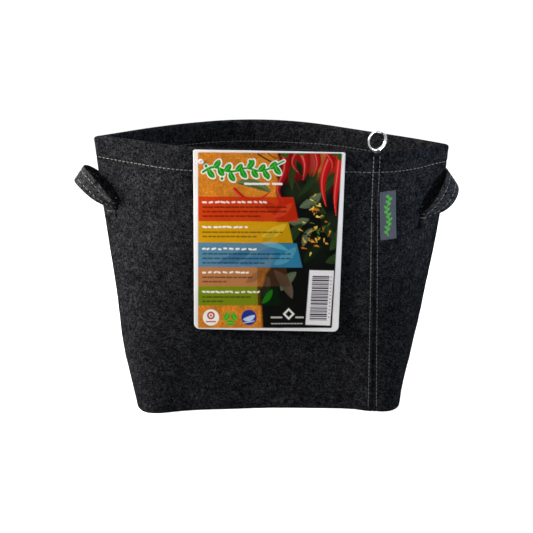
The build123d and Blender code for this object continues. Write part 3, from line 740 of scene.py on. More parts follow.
def hem_stitches():
    pitch, margin, arch = 3.75, 2.0, .18
    outside, inside = [], []
    for face in OUTWARD:
        curve, arcs, _ = outline(STITCH_T, face)
        for inner in (False, True):
            start, end = inset_span(STITCH_T, face, 2 * FELT if inner else 0.0)
            start, end = start + margin, end - margin
            count = int((end - start) / pitch)
            for i in range(count):
                arc = start + (end - start) * (i + .5) / count + rng.normal(0, .10)
                tilt = Z_AXIS * rng.normal(0, .025)
                length = 3.0 + rng.normal(0, .12)
                x = float(np.interp(arc, arcs, curve[:, 0]))
                t = 1 - float(hem_depth(x)) / BAG_H
                arc *= outline(t, face)[1][-1] / arcs[-1]
                if inner:
                    point, tangent, normal = on_felt(t, face, arc, -2 * FELT + .22)
                    inside.append((point, tangent + tilt, -normal, length, .34, arch))
                    continue
                lift = -.34
                if face == "front":
                    lift += seam_profile(arc - seam_edge_arc(t), 4.0)
                point, tangent, normal = on_felt(t, face, arc, lift)
                slope = Z_AXIS * float(hem_depth(x + .5) - hem_depth(x - .5)) * abs(tangent[0])
                outside.append((point, tangent + tilt - slope, normal, length, .35, arch))
    attach(add_threads("hem_thread", outside, THREAD_MAT), "thread", "hem_stitch")
    attach(add_threads("hem_thread_inside", inside, THREAD_SHADED), "thread", "hem_stitch")


def seam_stitches(side, row, ply_lift):
    count, first_z, run = 64, 5, BAG_H - 8.5

    def on_row(t):
        t = min(t, 1)
        arc = at_x(t, "front", seam_x(t, row))[2]
        return on_felt(t, "front", arc, ply_lift - .28)

    stitches = []
    for i in range(count):
        t = (first_z + run * (i + .5) / count + rng.normal(0, .1)) / BAG_H
        point, _, normal = on_row(t)
        length = 2.9 + rng.normal(0, .15)
        stitches.append((point, on_row(t + .01)[0] - point, normal, length, .36, .18))
    threads = add_threads("seam_thread_" + side, stitches, THREAD_MAT)
    attach(threads, "thread", "seam_stitch_" + side)


def base_stitches():
    t, z, margin, inset = .034, 8.0, 7, 5.15
    stitches = []
    for face in OUTWARD:
        run = outline(t, face)[1][-1] - 2 * margin
        count = int(run / 5.2)
        for i in range(count):
            point, tangent = along(t, face, margin + run * (i + .5) / count)
            normal = np.r_[outward(tangent, face), 0]
            direction = np.r_[tangent, -LEAN_X * tangent[0] * t]
            stitches.append((np.r_[point, z] - normal * inset, direction, -normal, 3.4, .42, .25))
    attach(add_threads("base_thread", stitches, THREAD_MAT), "thread", "base_stitch")


hem_stitches()
seam_stitches("left", 0, ply_lift=.95)
seam_stitches("right", 1, ply_lift=0.0)
base_stitches()

# ---------------------------------------------------------------- handle straps
STRAP_W, STRAP_THICK, LOBE_THICK = 16.0, 2.3, 2.0
STRAP_ROW = 3.7             # each row of thread, from the strap's middle

# Stations are (x, y, z, width direction x, y, z, share of the full width).
# "front" and "back" are measured from the wall at the slit, "loop" from the origin.
# bunch: how far the bunched strap sits above the middle of the front and back slits.
# tilt: rise of the direction the loop leaves the wall in, in degrees.
# loose: front threads (x, y from the wall, z, tangent x, y, z, length, radius, arch).
HANDLES = {
    "left": {
        "sign": -1, "tilt": 46, "bunch": {"front": 3.6, "back": .5},
        "front": [(-.4, -1.5, 4.0, .02, -.3, 1, .50), (-2.6, -3.6, 5.2, .2, -.5, .84, .55)],
        "loop": [
            (-138.6, -43.4, 185.2, .50, -.45, .74, .72), (-144.6, -44.4, 190.6, .66, -.25, .72, .88),
            (-151.6, -43.4, 197.8, .64, -.10, .76, 1), (-157.6, -40.6, 203.4, .58, 0, .81, 1),
            (-162.2, -35.0, 206.6, .57, 0, .82, 1), (-162.8, -27.5, 206.4, .58, 0, .81, 1),
            (-158.8, -20.0, 202.8, .60, 0, .80, 1), (-152.0, -15.6, 196.0, .62, 0, .78, 1),
            (-145.0, -14.2, 187.6, .58, 0, .81, .92), (-138.8, -14.8, 181.6, .38, 0, .92, .72)],
        "back": [(-2.2, 3.6, 1.6, .14, 0, 1, .58), (-.5, 1.4, .6, .04, 0, 1, .52)],
        "loose": [(-136.2, -4.3, 177.0, 1, .28, -.10, 6.4, .33, .9),
                  (-134.6, -3.4, 176.6, 1, .30, -.02, 3.6, .26, .4)]},
    "right": {
        "sign": 1, "tilt": 43, "bunch": {"front": 3.4, "back": .5},
        "front": [(.4, -1.5, 3.4, -.02, -.35, 1, .42), (2.6, -3.4, 4.0, -.3, -.6, .74, .48)],
        "loop": [
            (136.4, -48.8, 178.2, -.55, -.45, .70, .66), (142.6, -49.2, 183.0, -.76, -.22, .61, .84),
            (148.0, -47.8, 188.8, -.84, -.08, .53, 1), (151.8, -44.6, 194.8, -.82, 0, .57, 1),
            (154.2, -38.8, 200.4, -.68, 0, .73, 1), (154.8, -30.5, 203.4, -.57, 0, .82, 1),
            (154.2, -22.0, 202.2, -.58, 0, .81, 1), (151.6, -14.8, 196.2, -.66, 0, .75, 1),
            (146.6, -11.4, 187.6, -.62, 0, .78, .94), (139.6, -11.2, 179.4, -.42, 0, .90, .76)],
        "back": [(2.4, 3.6, 1.6, -.15, 0, 1, .58), (.5, 1.4, .6, -.05, 0, 1, .52)],
        "loose": [(129.8, -3.9, 172.6, 1, -.05, .06, 6.2, .33, .8),
                  (130.6, -3.4, 171.6, 1, .1, -.16, 4.4, .28, .5)]}}

# stations of a small lobe below the right front slit, y from the wall there
LOBE = [(128.4, 3.6, 167.0, 0, 0, 1, .5), (128.9, 1.2, 167.0, 0, 0, 1, .5),
        (128.7, -1.6, 166.9, 0, 0, 1, .52), (129.6, -3.6, 166.8, .05, 0, 1, .55),
        (131.6, -3.9, 166.6, .1, 0, 1, .55), (132.7, -2.0, 166.5, .1, 0, 1, .5),
        (132.6, -.4, 166.5, .1, 0, 1, .45)]


def shifted(stations, x=0, y=0, z=0):
    return np.array(stations) + (x, y, z, 0, 0, 0, 0)


def tail_stations(side, face):
    """Flat on the inside of the wall, then into the slit."""
    x, z = SLITS[side]
    sign, up = HANDLES[side]["sign"], HANDLES[side]["bunch"][face]
    stations = []
    for run, rise, share in ((19, -1.0, 1), (12, -.5, 1), (6, up * .5, .85)):
        point, tangent = wall_at(face, x - sign * run, z)
        place = point - outward(tangent, face) * (FELT + 1.9)
        stations.append((*place, z + rise, 0, 0, 1, share))
    wall_y, inward = SLIT_Y[side, face], OUTWARD[face]
    return stations + [(x - sign * 1.6, wall_y + inward * 4.6, z + up, 0, 0, 1, .6),
                       (x, wall_y + inward * 2.0, z + up, 0, 0, 1, .52)]


def handle_stations(side):
    x, z = SLITS[side]
    handle = HANDLES[side]
    front_tail, back_tail = tail_stations(side, "front"), tail_stations(side, "back")
    return np.vstack([front_tail, shifted(handle["front"], x, SLIT_Y[side, "front"], z),
                      handle["loop"], shifted(handle["back"], x, SLIT_Y[side, "back"], z),
                      back_tail[::-1]])


def strap_frames(stations, count):
    """Centre line, tangents, width directions, normals, arc lengths and width shares."""
    curve = natural_cubic(stations[:, :3], count)
    chord = arc_lengths(stations[:, :3])
    at = np.linspace(0, chord[-1], count)
    width = np.stack([blur(np.interp(at, chord, stations[:, k]), 15, mode="edge")
                      for k in (3, 4, 5)], -1)
    tangent = tangents(curve)
    width = unit(width - tangent * (width * tangent).sum(1)[:, None])
    share = np.pad(np.interp(at, chord, stations[:, 6]), 4, mode="edge")
    share = np.convolve(share, np.ones(9) / 9, "valid")
    return curve, tangent, width, np.cross(tangent, width), arc_lengths(curve), share


def strap_section(thick, sides=44):
    """Closed section: flat faces with a soft edge and a shallow groove under each thread row."""
    section = []
    half_w, half_t = STRAP_W / 2, thick / 2
    for k in range(sides):
        a = 2 * math.pi * k / sides
        x = half_w * math.copysign(abs(math.cos(a)) ** .42, math.cos(a))
        y = half_t * math.copysign(abs(math.sin(a)) ** .36, math.sin(a))
        groove = .30 * math.exp(-((abs(x) - STRAP_ROW) / .9) ** 2)
        section.append((x, y * (1 - groove + .06 * math.cos(x / half_w * math.pi / 2))))
    return section


def cup(across, share):
    """Rise of a squeezed strap's middle."""
    return 2.6 * (1 - share) * (1 - (2 * across / STRAP_W) ** 2) * .6


def thicken(share):
    return 1 + .35 * (1 - share)


def add_strap(name, stations, thick, count=150):
    frames = strap_frames(stations, count)
    section = strap_section(thick)
    verts, uvs = [], []
    for centre, _, width, normal, arc, share in zip(*frames):
        for across, high in section:
            uvs.append((arc * MM, across * MM))
            # squeezed in a slit, the strap bunches: narrower, thicker and cupped
            high = high * thicken(share) + cup(across, share)
            across *= share
            p = centre + width * across + normal * high
            rough = noise_at(p, 5.0, 8.1) * .16 + noise_at(p, 2.0, 2.1) * .07
            u, v = across / (STRAP_W / 2), high / (thick / 2)
            verts.append(p + (width * u * .4 + normal * v) / (math.hypot(u, v) + 1e-6) * rough)
    sides = len(section)
    faces = grid_faces(count, sides, close_cols=True)
    faces.append(tuple(range(sides)))
    faces.append(tuple((count - 1) * sides + k for k in reversed(range(sides))))
    return new_object(name, verts, faces, STRAP_LIT_FELT_MAT, uv=uvs), frames


def strap_stitches(frames):
    """Two rows of thread on both faces of the strap."""
    centre, tangent, width, normal, arc, share = frames
    margin = 6
    run = arc[-1] - 2 * margin
    count = int(run / 3.9)
    stitches = []
    for i in range(count):
        k = np.searchsorted(arc, margin + run * (i + .5) / count)
        for across in (-STRAP_ROW, STRAP_ROW):
            for face in (1, -1):
                high = face * (STRAP_THICK / 2 * .72 + .06) * thicken(share[k])
                point = (centre[k] + width[k] * (across * share[k] + rng.normal(0, .05))
                         + normal[k] * (high + cup(across, share[k])))
                stitches.append((point, tangent[k], normal[k] * face, 2.8, .33, .18))
    return stitches


def tack_stitches(side):
    """Short threads at the ends of the slits and loose threads over the strap's front foot."""
    x, z = SLITS[side]
    stitches = []
    # (face, heights from the slit's middle, length, radius)
    for face, heights, length, radius in (("front", (9.0, 9.7), 2.3, .21),
                                          ("back", (9.0, 9.7, -8.9, -9.6), 3.4, .30)):
        for dz in heights:
            point, tangent = wall_at(face, x, z + dz)
            normal = np.r_[outward(tangent, face), 0]
            place = (point[0] - HANDLES[side]["sign"] * .5, point[1], z + dz) + normal * .1
            direction = (*tangent, rng.normal(0, .05))
            stitches.append((place, direction, normal, length, radius, .10))
    for tx, ty, tz, *direction, length, radius, arch in HANDLES[side]["loose"]:
        place = (tx, SLIT_Y[side, "front"] + ty, tz)
        stitches.append((place, direction, (0, -1, .3), length, radius, arch))
    return stitches


def add_handle(side, stations):
    handle, piece = HANDLES[side], "handle_" + side
    strap, frames = add_strap("strap_" + side, stations, STRAP_THICK)
    threads = add_threads("strap_thread_" + side, strap_stitches(frames), THREAD_MAT)
    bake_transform(strap)
    cover(strap, "strap_felt", piece, piece + "_ends")
    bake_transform(threads)
    cover(threads, "thread", piece + "_stitch")
    tacks = add_threads("tacks_" + side, tack_stitches(side), THREAD_MAT)
    attach(tacks, "thread", piece + "_tacks")


all_stations = {side: handle_stations(side) for side in HANDLES}
lobe, _ = add_strap("strap_lobe", shifted(LOBE, y=SLIT_Y["right", "front"]), LOBE_THICK, count=40)
attach(lobe, "strap_felt", "handle_right_ends")
for side, stations in all_stations.items():
    add_handle(side, stations)


# ---------------------------------------------------------------- painting: shapes laid on points
def rgb(*levels):
    """Linear colour from display levels of 0 to 255."""
    return np.array([((v / 255 + .055) / 1.055) ** 2.4 if v > 10 else v / 255 / 12.92
                     for v in levels])


def mixed(a, b, share):
    return a * (1 - share)[:, None] + b * share[:, None]


def edge_distance(x, y, a, b):
    """Share along the segment a-b of the nearest point, and the distance to it."""
    dx, dy = b - a
    f = np.clip(((x - a[0]) * dx + (y - a[1]) * dy) / (dx * dx + dy * dy + 1e-12), 0, 1)
    return f, np.hypot(x - a[0] - f * dx, y - a[1] - f * dy)


class Paint:
    """Colours at points x, y; y runs down."""

    def __init__(self, x, y):
        self.x, self.y = x, y
        self.colours = np.ones((len(x), 3))

    def near(self, low, high, pad=3):
        x, y = self.x, self.y
        return np.nonzero((x > low[0] - pad) & (x < high[0] + pad)
                          & (y > low[1] - pad) & (y < high[1] + pad))[0]

    def lay(self, index, distance, colour, alpha=1.0, soft=.55):
        share = np.clip(.5 - distance / soft, 0, 1) * alpha
        self.colours[index] = mixed(self.colours[index], np.asarray(colour), share)

    def poly(self, points, colour, alpha=1.0, soft=.55):
        p = np.array(points, float)
        index = self.near(p.min(0), p.max(0))
        x, y = self.x[index], self.y[index]
        best, inside = np.full(len(index), 1e9), np.zeros(len(index), bool)
        for a, b in zip(p, np.roll(p, -1, 0)):
            best = np.minimum(best, edge_distance(x, y, a, b)[1])
            crosses = (a[1] > y) != (b[1] > y)
            with np.errstate(divide="ignore", invalid="ignore"):
                slope = (b[0] - a[0]) * (y - a[1]) / (b[1] - a[1] + 1e-12)
            inside ^= crosses & (x < slope + a[0])
        self.lay(index, np.where(inside, -best, best), colour, alpha, soft)

    def stroke(self, points, colour, radius, end=None, alpha=1.0, soft=.55, bulge=0.0):
        """A curved line whose radius runs to end; returns index, distance and side."""
        curve = natural_cubic(points, 40) if len(points) > 2 else np.linspace(*points, 24)
        end = radius if end is None else end
        widest = max(radius, end) + bulge
        index = self.near(curve.min(0) - widest, curve.max(0) + widest)
        x, y = self.x[index], self.y[index]
        distance, side = np.full(len(index), 1e9), np.zeros(len(index))
        for k, (a, b) in enumerate(zip(curve, curve[1:])):
            f, d = edge_distance(x, y, a, b)
            f = (k + f) / (len(curve) - 1)
            r = radius + (end - radius) * f + bulge * np.sin(np.pi * f) ** .8
            dx, dy = b - a
            here = ((x - a[0]) * dy - (y - a[1]) * dx) / np.hypot(dx, dy) / np.maximum(r, .2)
            side = np.where(d - r < distance, here, side)
            distance = np.minimum(distance, d - r)
        self.lay(index, distance, colour, alpha, soft)
        return index, distance, side

    def disc(self, x, y, r, colour, alpha=1.0, soft=.55):
        index = self.near((x - r, y - r), (x + r, y + r))
        distance = np.hypot(self.x[index] - x, self.y[index] - y) - r
        self.lay(index, distance, colour, alpha, soft)

    def leaf(self, a, b, width, colour, vein=None, alpha=1.0, bend=0.0, light=None):
        a, b = np.array(a, float), np.array(b, float)
        dx, dy = b - a
        spine = [a, (a + b) / 2 + np.array([-dy, dx]) * bend, b]
        index, distance, side = self.stroke(spine, colour, .15, alpha=alpha, bulge=width)
        if light is not None:
            self.lay(index, distance, light, (side > 0) * .55 * alpha)
        if vein is not None:
            self.stroke(spine, vein, .28, .12, alpha=alpha * .8)

    def chilli(self, points, radius, tone, stem=True):
        index, distance, side = self.stroke(points, rgb(205, 28, 26) * tone, radius, .5, bulge=.4)
        self.lay(index, distance, rgb(110, 8, 14), np.clip(side, 0, 1) ** 1.5 * .65, soft=.6)
        self.lay(index, distance, rgb(255, 150, 140), bell(side + .42, .16) * .55, soft=.6)
        if stem:
            p = np.array(points[0], float)
            u = unit(p - points[1])
            self.disc(*(p + u * radius * .3), radius * .85, rgb(60, 95, 30))
            self.stroke([p, p + u * 3 + [.8, 0], p + u * 6 + [2, 0]], rgb(70, 100, 35), .9, .6)


def field_noise(x, y, scale, seed):
    """Smooth seeded value noise on points, about -1..1."""
    draws = np.random.default_rng(seed)
    out, strength, total = np.zeros(len(x)), 1.0, 0.0
    for octave in range(3):
        g = draws.uniform(-1, 1, (256, 256))
        u, v = x / scale * 2 ** octave + 50, y / scale * 2 ** octave + 50
        i, j = np.floor(u).astype(int) % 255, np.floor(v).astype(int) % 255
        fu, fv = (ease(w - np.floor(w), 0, 1) for w in (u, v))
        out += strength * ((g[i, j] * (1 - fu) + g[i + 1, j] * fu) * (1 - fv)
                           + (g[i, j + 1] * (1 - fu) + g[i + 1, j + 1] * fu) * fv)
        total += strength
        strength *= .55
    return out / total


# ---------------------------------------------------------------- the card's print
# The print is laid out in mm on a flat sheet square to the camera's line of sight, and
# falls on the card along the lines of sight. x runs right and y down.
EYE, AIM = np.array([-3.43, -890.35, 454.65]), np.array([-3.43, -2.0, 118.0])
SHEET_DISTANCE = 1041.9             # from the eye
SHEET_AIM = (266.5, 258.3)          # where the line of sight meets the sheet
WHITE_INK = rgb(246, 244, 238)

# (x, y, radius, colour, alpha)
BLURS = [
    (300, 164, 14, (150, 16, 20), .9), (315, 160, 9, (176, 66, 66), .7),
    (290, 172, 10, (120, 12, 14), .85), (336, 168, 12, (160, 18, 22), .85),
    (326, 182, 9, (110, 12, 14), .7), (327, 176, 7, (60, 70, 36), .7),
    (318, 190, 10, (42, 56, 30), .8), (296, 192, 10, (34, 46, 26), .9),
    (286, 214, 10, (30, 40, 24), .7), (332, 222, 9, (34, 46, 28), .8),
    (314, 250, 14, (16, 26, 14), .8)]
# (start, end, width, index in LEAF_TONES)
LEAVES = [
    ((283, 155), (312, 186), 3.6, 0), ((297, 158), (292, 190), 3.0, 1),
    ((318, 166), (298, 196), 3.2, 2), ((344, 170), (320, 196), 4.4, 1),
    ((300, 207), (321, 193), 4.6, 3), ((289, 222), (309, 219), 3.8, 3),
    ((289, 244), (302, 224), 4.8, 2), ((330, 250), (341, 226), 5.0, 1),
    ((304, 262), (322, 246), 4.4, 0), ((326, 262), (343, 252), 4.2, 1),
    ((310, 206), (326, 214), 3.2, 2), ((296, 272), (281, 290), 4.6, 3),
    ((274, 270), (292, 298), 5.0, 4), ((268, 276), (262, 296), 3.6, 4),
    ((312, 228), (303, 246), 3.4, 3), ((322, 226), (334, 240), 3.6, 2)]
LEAF_TONES = (rgb(24, 42, 20) * .8, rgb(62, 88, 44) * .55, rgb(36, 56, 28),
              rgb(128, 146, 112) * .5, rgb(122, 104, 88) * .6)
CRUMBS = [rgb(238, 176, 60), rgb(245, 214, 110), rgb(214, 118, 30), rgb(90, 120, 50),
          rgb(20, 28, 14)]
# (points, radius, tone, stem)
CHILLIES = [
    ([(285, 155), (285, 172), (278, 190), (284, 202)], 4.6, .7, True),
    ([(303, 152), (306, 162), (303, 180)], 6.0, .72, True),
    ([(297, 153), (293, 163), (298, 172)], 3.0, .7, True),
    ([(316, 152), (318, 164), (313, 176)], 3.6, .8, True),
    ([(334, 153), (325, 172), (323, 190), (326, 206)], 5.4, .95, True),
    ([(341, 158), (338, 180), (335.5, 198), (336, 215)], 5.0, 1.05, True),
    ([(329, 155), (333, 164), (331, 172)], 3.0, .75, False)]
VINE = [(203, 172), (216, 167), (230, 172), (245, 168), (260, 171), (274, 166), (284, 161)]
BUDS = [(206, 166), (222, 178.5), (250, 161), (268, 178)]
# x spans of the short bars under the vine
VINE_BARS = [(245, 251), (252.5, 258), (259.5, 263.5), (265, 268.5), (273, 276), (277.5, 281.5)]
BAND_LEFT = 190
# (top, bottom, right end at top, right end at bottom, colour, alpha)
SLANTED_BANDS = [
    (196.2, 221, 293.5, 298.6, (200, 50, 14), .8742), (221, 242.2, 288.4, 292.9, (206, 160, 8), .893),
    (242.2, 266.8, 296.7, 302.4, (58, 138, 172), .8742)]
# (top, bottom, right end, colour, alpha, colour of the dark right part, its alpha)
SPLIT_BANDS = [
    (266.8, 286, 290, rgb(182, 126, 84), .90, rgb(182, 126, 84) * .2, .6),
    (286, 305, 281, rgb(116, 142, 20), .92, rgb(3, 34, 7), .86)]
# (start, end, width, colour, alpha)
BAND_LEAVES = [
    ((243, 240), (262, 223), 4, (206, 160, 40), .5), ((262, 236), (286, 224), 4.5, (232, 200, 70), .5),
    ((262, 241), (276, 229), 3.2, (120, 130, 40), .35),
    ((219, 262), (252, 248), 4.4, (36, 104, 144), .55),
    ((240, 264), (276, 246), 4.6, (48, 120, 160), .5),
    ((274, 264), (296, 247), 4.4, (110, 176, 200), .5),
    ((284, 219), (262, 202), 4.5, (170, 36, 12), .5), ((274, 217), (292, 203), 3.4, (226, 92, 50), .45),
    ((288, 250), (262, 243), 2.6, (120, 196, 214), .5),
    ((246, 282), (262, 270), 3.4, (120, 84, 60), .5), ((262, 303), (272, 289), 2.8, (60, 190, 30), .35)]
# (y of the heading, its right end, right end of the lines, number of lines, line pitch, colour)
BAND_BARS = [
    (202.0, 266, 286, 3, 4.5, (96, 18, 8)), (227.0, 248, 282, 2, 4.3, (88, 72, 12)),
    (248.6, 259, 290, 3, 4.5, (20, 62, 84)), (272.0, 250, 252, 2, 4.3, (84, 56, 36)),
    (291.6, 262, 250, 2, 4.3, (42, 66, 10))]


def card_ground(x, y, broad, medium, fine):
    """Cork at the left and top right, dark foliage elsewhere."""
    cork = rgb(216, 138, 44) * (1 + .26 * broad + .34 * medium + .34 * fine)[:, None]
    cork *= (1 - .5 * np.clip((fine - .25) / .2, 0, 1))[:, None]
    cork += rgb(250, 200, 110) * (.25 * np.clip((-medium - .3) / .3, 0, 1))[:, None]
    dark = rgb(7, 9, 7) * (1 + .8 * np.clip(broad, -1, 1))[:, None]
    dark += rgb(16, 30, 14) * np.clip(medium, 0, 1)[:, None] * .4
    edge = 276 + 5 * field_noise(y, y * 0, 14, 4) + np.clip((y - 240) / 60, 0, 1) * -18
    edge = np.where(y < 288, edge, 258.5 + (y - 288) * .06)
    corner = np.clip((x - 306) / 12, 0, 1) * np.clip((184 - y) / 14, 0, 1)
    return mixed(cork, dark, np.clip((x - edge) / 3.0, 0, 1) * (1 - corner * .85))


def paint_foliage(paint):
    for x, y, radius, colour, alpha in BLURS:
        paint.disc(x, y, radius, rgb(*colour), alpha, soft=9)
    for a, b, width, tone in LEAVES:
        colour = LEAF_TONES[tone]
        paint.leaf(a, b, width, colour, vein=colour * 1.7, light=colour * 1.3,
                   bend=.08 if tone % 2 else -.08)
    draws = np.random.default_rng(11)
    for k in range(60):
        # (mean, spread) of x and of y
        spread_x, spread_y = ((314, 5.5), (207, 5)) if k % 3 == 0 else ((316, 8), (236, 9))
        centre = np.array([draws.normal(*spread_x), draws.normal(*spread_y)])
        angle = draws.uniform(0, np.pi)
        reach = np.array([np.cos(angle), np.sin(angle)]) * draws.uniform(.9, 2.6)
        paint.stroke([centre - reach, centre + reach], CRUMBS[k % 5], draws.uniform(.45, 1.1), .3)
    paint.stroke([(258, 154), (268, 160), (286, 170), (300, 190)], rgb(70, 52, 34), .8, .5)
    paint.stroke([(268, 153), (276, 158), (284, 154)], rgb(96, 60, 36), .6, .3)
    for chilli in CHILLIES:
        paint.chilli(*chilli)
    paint.leaf((236, 182.5), (271, 192), 4.2, rgb(88, 106, 62), vein=rgb(160, 174, 128), bend=-.10,
               light=rgb(118, 134, 88))
    paint.chilli([(234.5, 189), (243, 197), (256, 200), (270, 192)], 1.7, 1.0, stem=False)


def paint_vine(paint):
    """A leafy vine, pale outline first, with a row of short bars below it."""
    vine = natural_cubic(VINE, 60)
    draws = np.random.default_rng(5)
    sprigs = []
    for k in range(13):
        p, up = vine[4 + k * 4], -1 if k % 2 else 1
        reach = [5.6 + draws.uniform(-1, 1), up * (7.6 + draws.uniform(-1.2, 1.2))]
        sprigs.append((p, p + reach))
    for grow, colour, vein in ((1.0, rgb(250, 250, 244), None),
                               (0, rgb(30, 158, 36), rgb(150, 222, 120))):
        paint.stroke(np.vstack([vine[::8], vine[-1:]]), colour, 1.3 + grow, .9 + grow)
        for p, q in sprigs:
            d = unit(q - p) * grow
            paint.leaf(p - d * .3, q + d, 2.9 + grow, colour, vein=vein, bend=.1)
        for x, y in BUDS:
            paint.disc(x, y, 1.6 + grow, colour)
    for start, end in VINE_BARS:
        paint.stroke([(start, 183.7), (end, 183.9)], rgb(246, 244, 236), 1.05)


def paint_bands(paint):
    for top, bottom, right_top, right_bottom, colour, alpha in SLANTED_BANDS:
        paint.poly([(BAND_LEFT, top), (right_top, top + .8), (right_bottom, bottom + .4),
                    (BAND_LEFT, bottom)], rgb(*colour), alpha)
    for top, bottom, right, colour, alpha, dark, dark_alpha in SPLIT_BANDS:
        paint.poly([(BAND_LEFT, top), (257, top), (258, bottom), (BAND_LEFT, bottom)],
                   colour, alpha)
        paint.poly([(257, top), (right - 4, top), (right, bottom), (258, bottom)],
                   dark, dark_alpha)
    for a, b, width, colour, alpha in BAND_LEAVES:
        paint.leaf(a, b, width, rgb(*colour), alpha=alpha, bend=.06)
    draws = np.random.default_rng(21)
    for heading_y, heading_end, lines_end, lines, pitch, shade in BAND_BARS:
        x = 203.0
        while x < heading_end:
            width = draws.uniform(1.4, 3.4)
            start = (x, heading_y + draws.uniform(-.5, .5))
            stop = (min(x + width, heading_end), heading_y + draws.uniform(-.5, .5))
            paint.stroke([start, stop], rgb(248, 244, 232), .82, soft=.9)
            x += width + (2.2 if draws.random() > .4 else 3.6)
        for line in range(lines):
            x, y = 203.0, heading_y + 5.0 + line * pitch
            end = lines_end - (26 if line == lines - 1 else 0)
            while x < end:
                width = draws.uniform(1.6, 5.2)
                paint.stroke([(x, y), (min(x + width, end), y)], rgb(*shade), .68,
                             alpha=.85, soft=.9)
                x += width + draws.uniform(1.5, 2.4)


def paint_badges(paint):
    orange = rgb(188, 64, 24)
    for y, radius, colour in ((317, 8.1, WHITE_INK), (315, 3.9, orange), (315, 2.2, WHITE_INK),
                              (315, 1.1, orange)):
        paint.disc(211, y, radius, colour)
    paint.stroke([(206.5, 321.2), (215.5, 321.2)], rgb(188, 90, 50), .6)
    # three leaves round a circle
    for k in range(3):
        angles = [math.radians(90 + 120 * k + more) for more in (16, 100)]
        ends = [(230.3 + 6.9 * math.cos(a), 318.2 - 6.9 * math.sin(a)) for a in angles]
        paint.leaf(*ends, 2.5, rgb(70, 172, 40), vein=rgb(180, 226, 130), bend=-.12)
    paint.disc(249, 317, 7.7, rgb(38, 62, 150))
    paint.leaf((243.2, 319), (254.8, 315), 2.3, rgb(206, 216, 240), bend=.1)
    paint.stroke([(244, 322.4), (254, 320.6)], rgb(206, 216, 240), .5)
    # lozenge, and dashed bars (start, end, y, radius)
    x, y = 288.7, 313.6
    for half_w, half_h, colour in ((5.9, 6.0, rgb(238, 238, 230)), (3.4, 3.4, rgb(9, 11, 8))):
        paint.poly([(x, y - half_h), (x + half_w, y), (x, y + half_h), (x - half_w, y)], colour)
    for start, end, y, radius in ((271.5, 281.5, 317.0, .8), (296, 303, 317.0, .8),
                                  (271.5, 303, 323.2, .45)):
        x = start
        while x < end:
            paint.stroke([(x, y), (min(x + 2.0, end), y)], rgb(206, 206, 198), radius)
            x += 3.2


def paint_panel(paint):
    """The striped panel at the lower right, with a column of dots."""
    paint.poly([(309.5, 269.8), (334, 270.4), (330, 325.2), (305.4, 324.4)], rgb(240, 238, 240))
    draws = np.random.default_rng(33)
    y = 275.5
    while y < 320:
        height = draws.choice([.45, .65, .9, 1.25]) * 1.25
        shift = (y - 275) / 45 * -3.0
        paint.poly([(312.5 + shift, y), (329.4 + shift, y + .3), (329.3 + shift, y + height + .3),
                    (312.4 + shift, y + height)], rgb(52, 46, 62), soft=.4)
        y += height + draws.choice([.55, .75, 1.1])
    for k in range(12):
        y = 277 + k * 3.6
        paint.disc(331.4 - (y - 275) / 45 * 3.0, y, .55, rgb(90, 84, 100))


def card_art(x, y):
    """Cork, peppers and leaves, five coloured bands of plain bars, badges, a striped panel."""
    paint = Paint(x, y)
    broad, medium, fine = field_noise(x, y, 9, 1), field_noise(x, y, 2.2, 2), field_noise(x, y, 1, 3)
    paint.colours = card_ground(x, y, broad, medium, fine)
    for layer in (paint_foliage, paint_vine, paint_bands, paint_badges, paint_panel):
        layer(paint)
    inked = np.clip(paint.colours * (1 + .05 * fine)[:, None], 0, 1) ** 1.12
    # the print ends at a pale border with slightly rounded corners
    corner = 1.5
    left = 198.0 + (y - 152) * .0008
    right = 342.2 + (y - 152.0) * (331.8 - 342.2) / 175.5
    over_x = np.maximum(left - x, x - right) + corner
    over_y = np.maximum(152.2 - y + (x - 198) * .008, y - 327.6) + corner
    distance = (np.hypot(np.maximum(over_x, 0), np.maximum(over_y, 0)) - corner
                + np.minimum(np.maximum(over_x, over_y), 0))
    return mixed(rgb(238, 237, 238), inked, np.clip(.5 - distance / .6, 0, 1))


def on_sheet(points):
    """Where the lines of sight to the points cross the sheet."""
    sight = unit(AIM - EYE)
    up = np.cross([1.0, 0, 0], sight)
    rel = points - EYE
    depth = rel @ sight
    return (SHEET_AIM[0] + SHEET_DISTANCE * rel[:, 0] / depth,
            SHEET_AIM[1] - SHEET_DISTANCE * (rel @ up) / depth)


# ---------------------------------------------------------------- hang card, pinned to the hem
CARD_X, CARD_HALF, CARD_THICK = -1.1, 62.5, .42
CARD_OUT = -1.0                             # y of the card's sheet from the rim
CARD_LEAN = math.tan(math.radians(2.9))
rim_y = at_x(1.0, "front", CARD_X)[0][1]
card_top = np.array([CARD_X, rim_y, level_z(1.0, CARD_X, rim_y) + .8])
card_x = unit([1, -.0144, -.016])
card_up = unit(np.cross(card_x, Y_AXIS))


def card_material():
    s = Shader("printed_card")
    art = s.art()
    place = s.rest_mm()
    grain = s.noise(place, scale=3.2, roughness=.7)
    broad = s.noise(place, scale=.05, detail=2, roughness=.5)
    colour = s.tint(art, grain, (.3, .90), (.7, 1.06))
    colour = s.tint(colour, broad, (.3, (.88, .88, .90)), (.7, .95))
    s.bump(grain, strength=.12, distance=.0003)
    return s.finish({"Base Color": colour, "Roughness": s.ramp(broad, (.3, .42), (.7, .56)),
                     "Specular IOR Level": .06})


def card_half_width(from_end, radius):
    """Half-width near an end with rounded corners."""
    q = np.clip(radius - from_end, 0, radius)
    return CARD_HALF - (radius - np.sqrt(np.maximum(radius * radius - q * q, 0)))


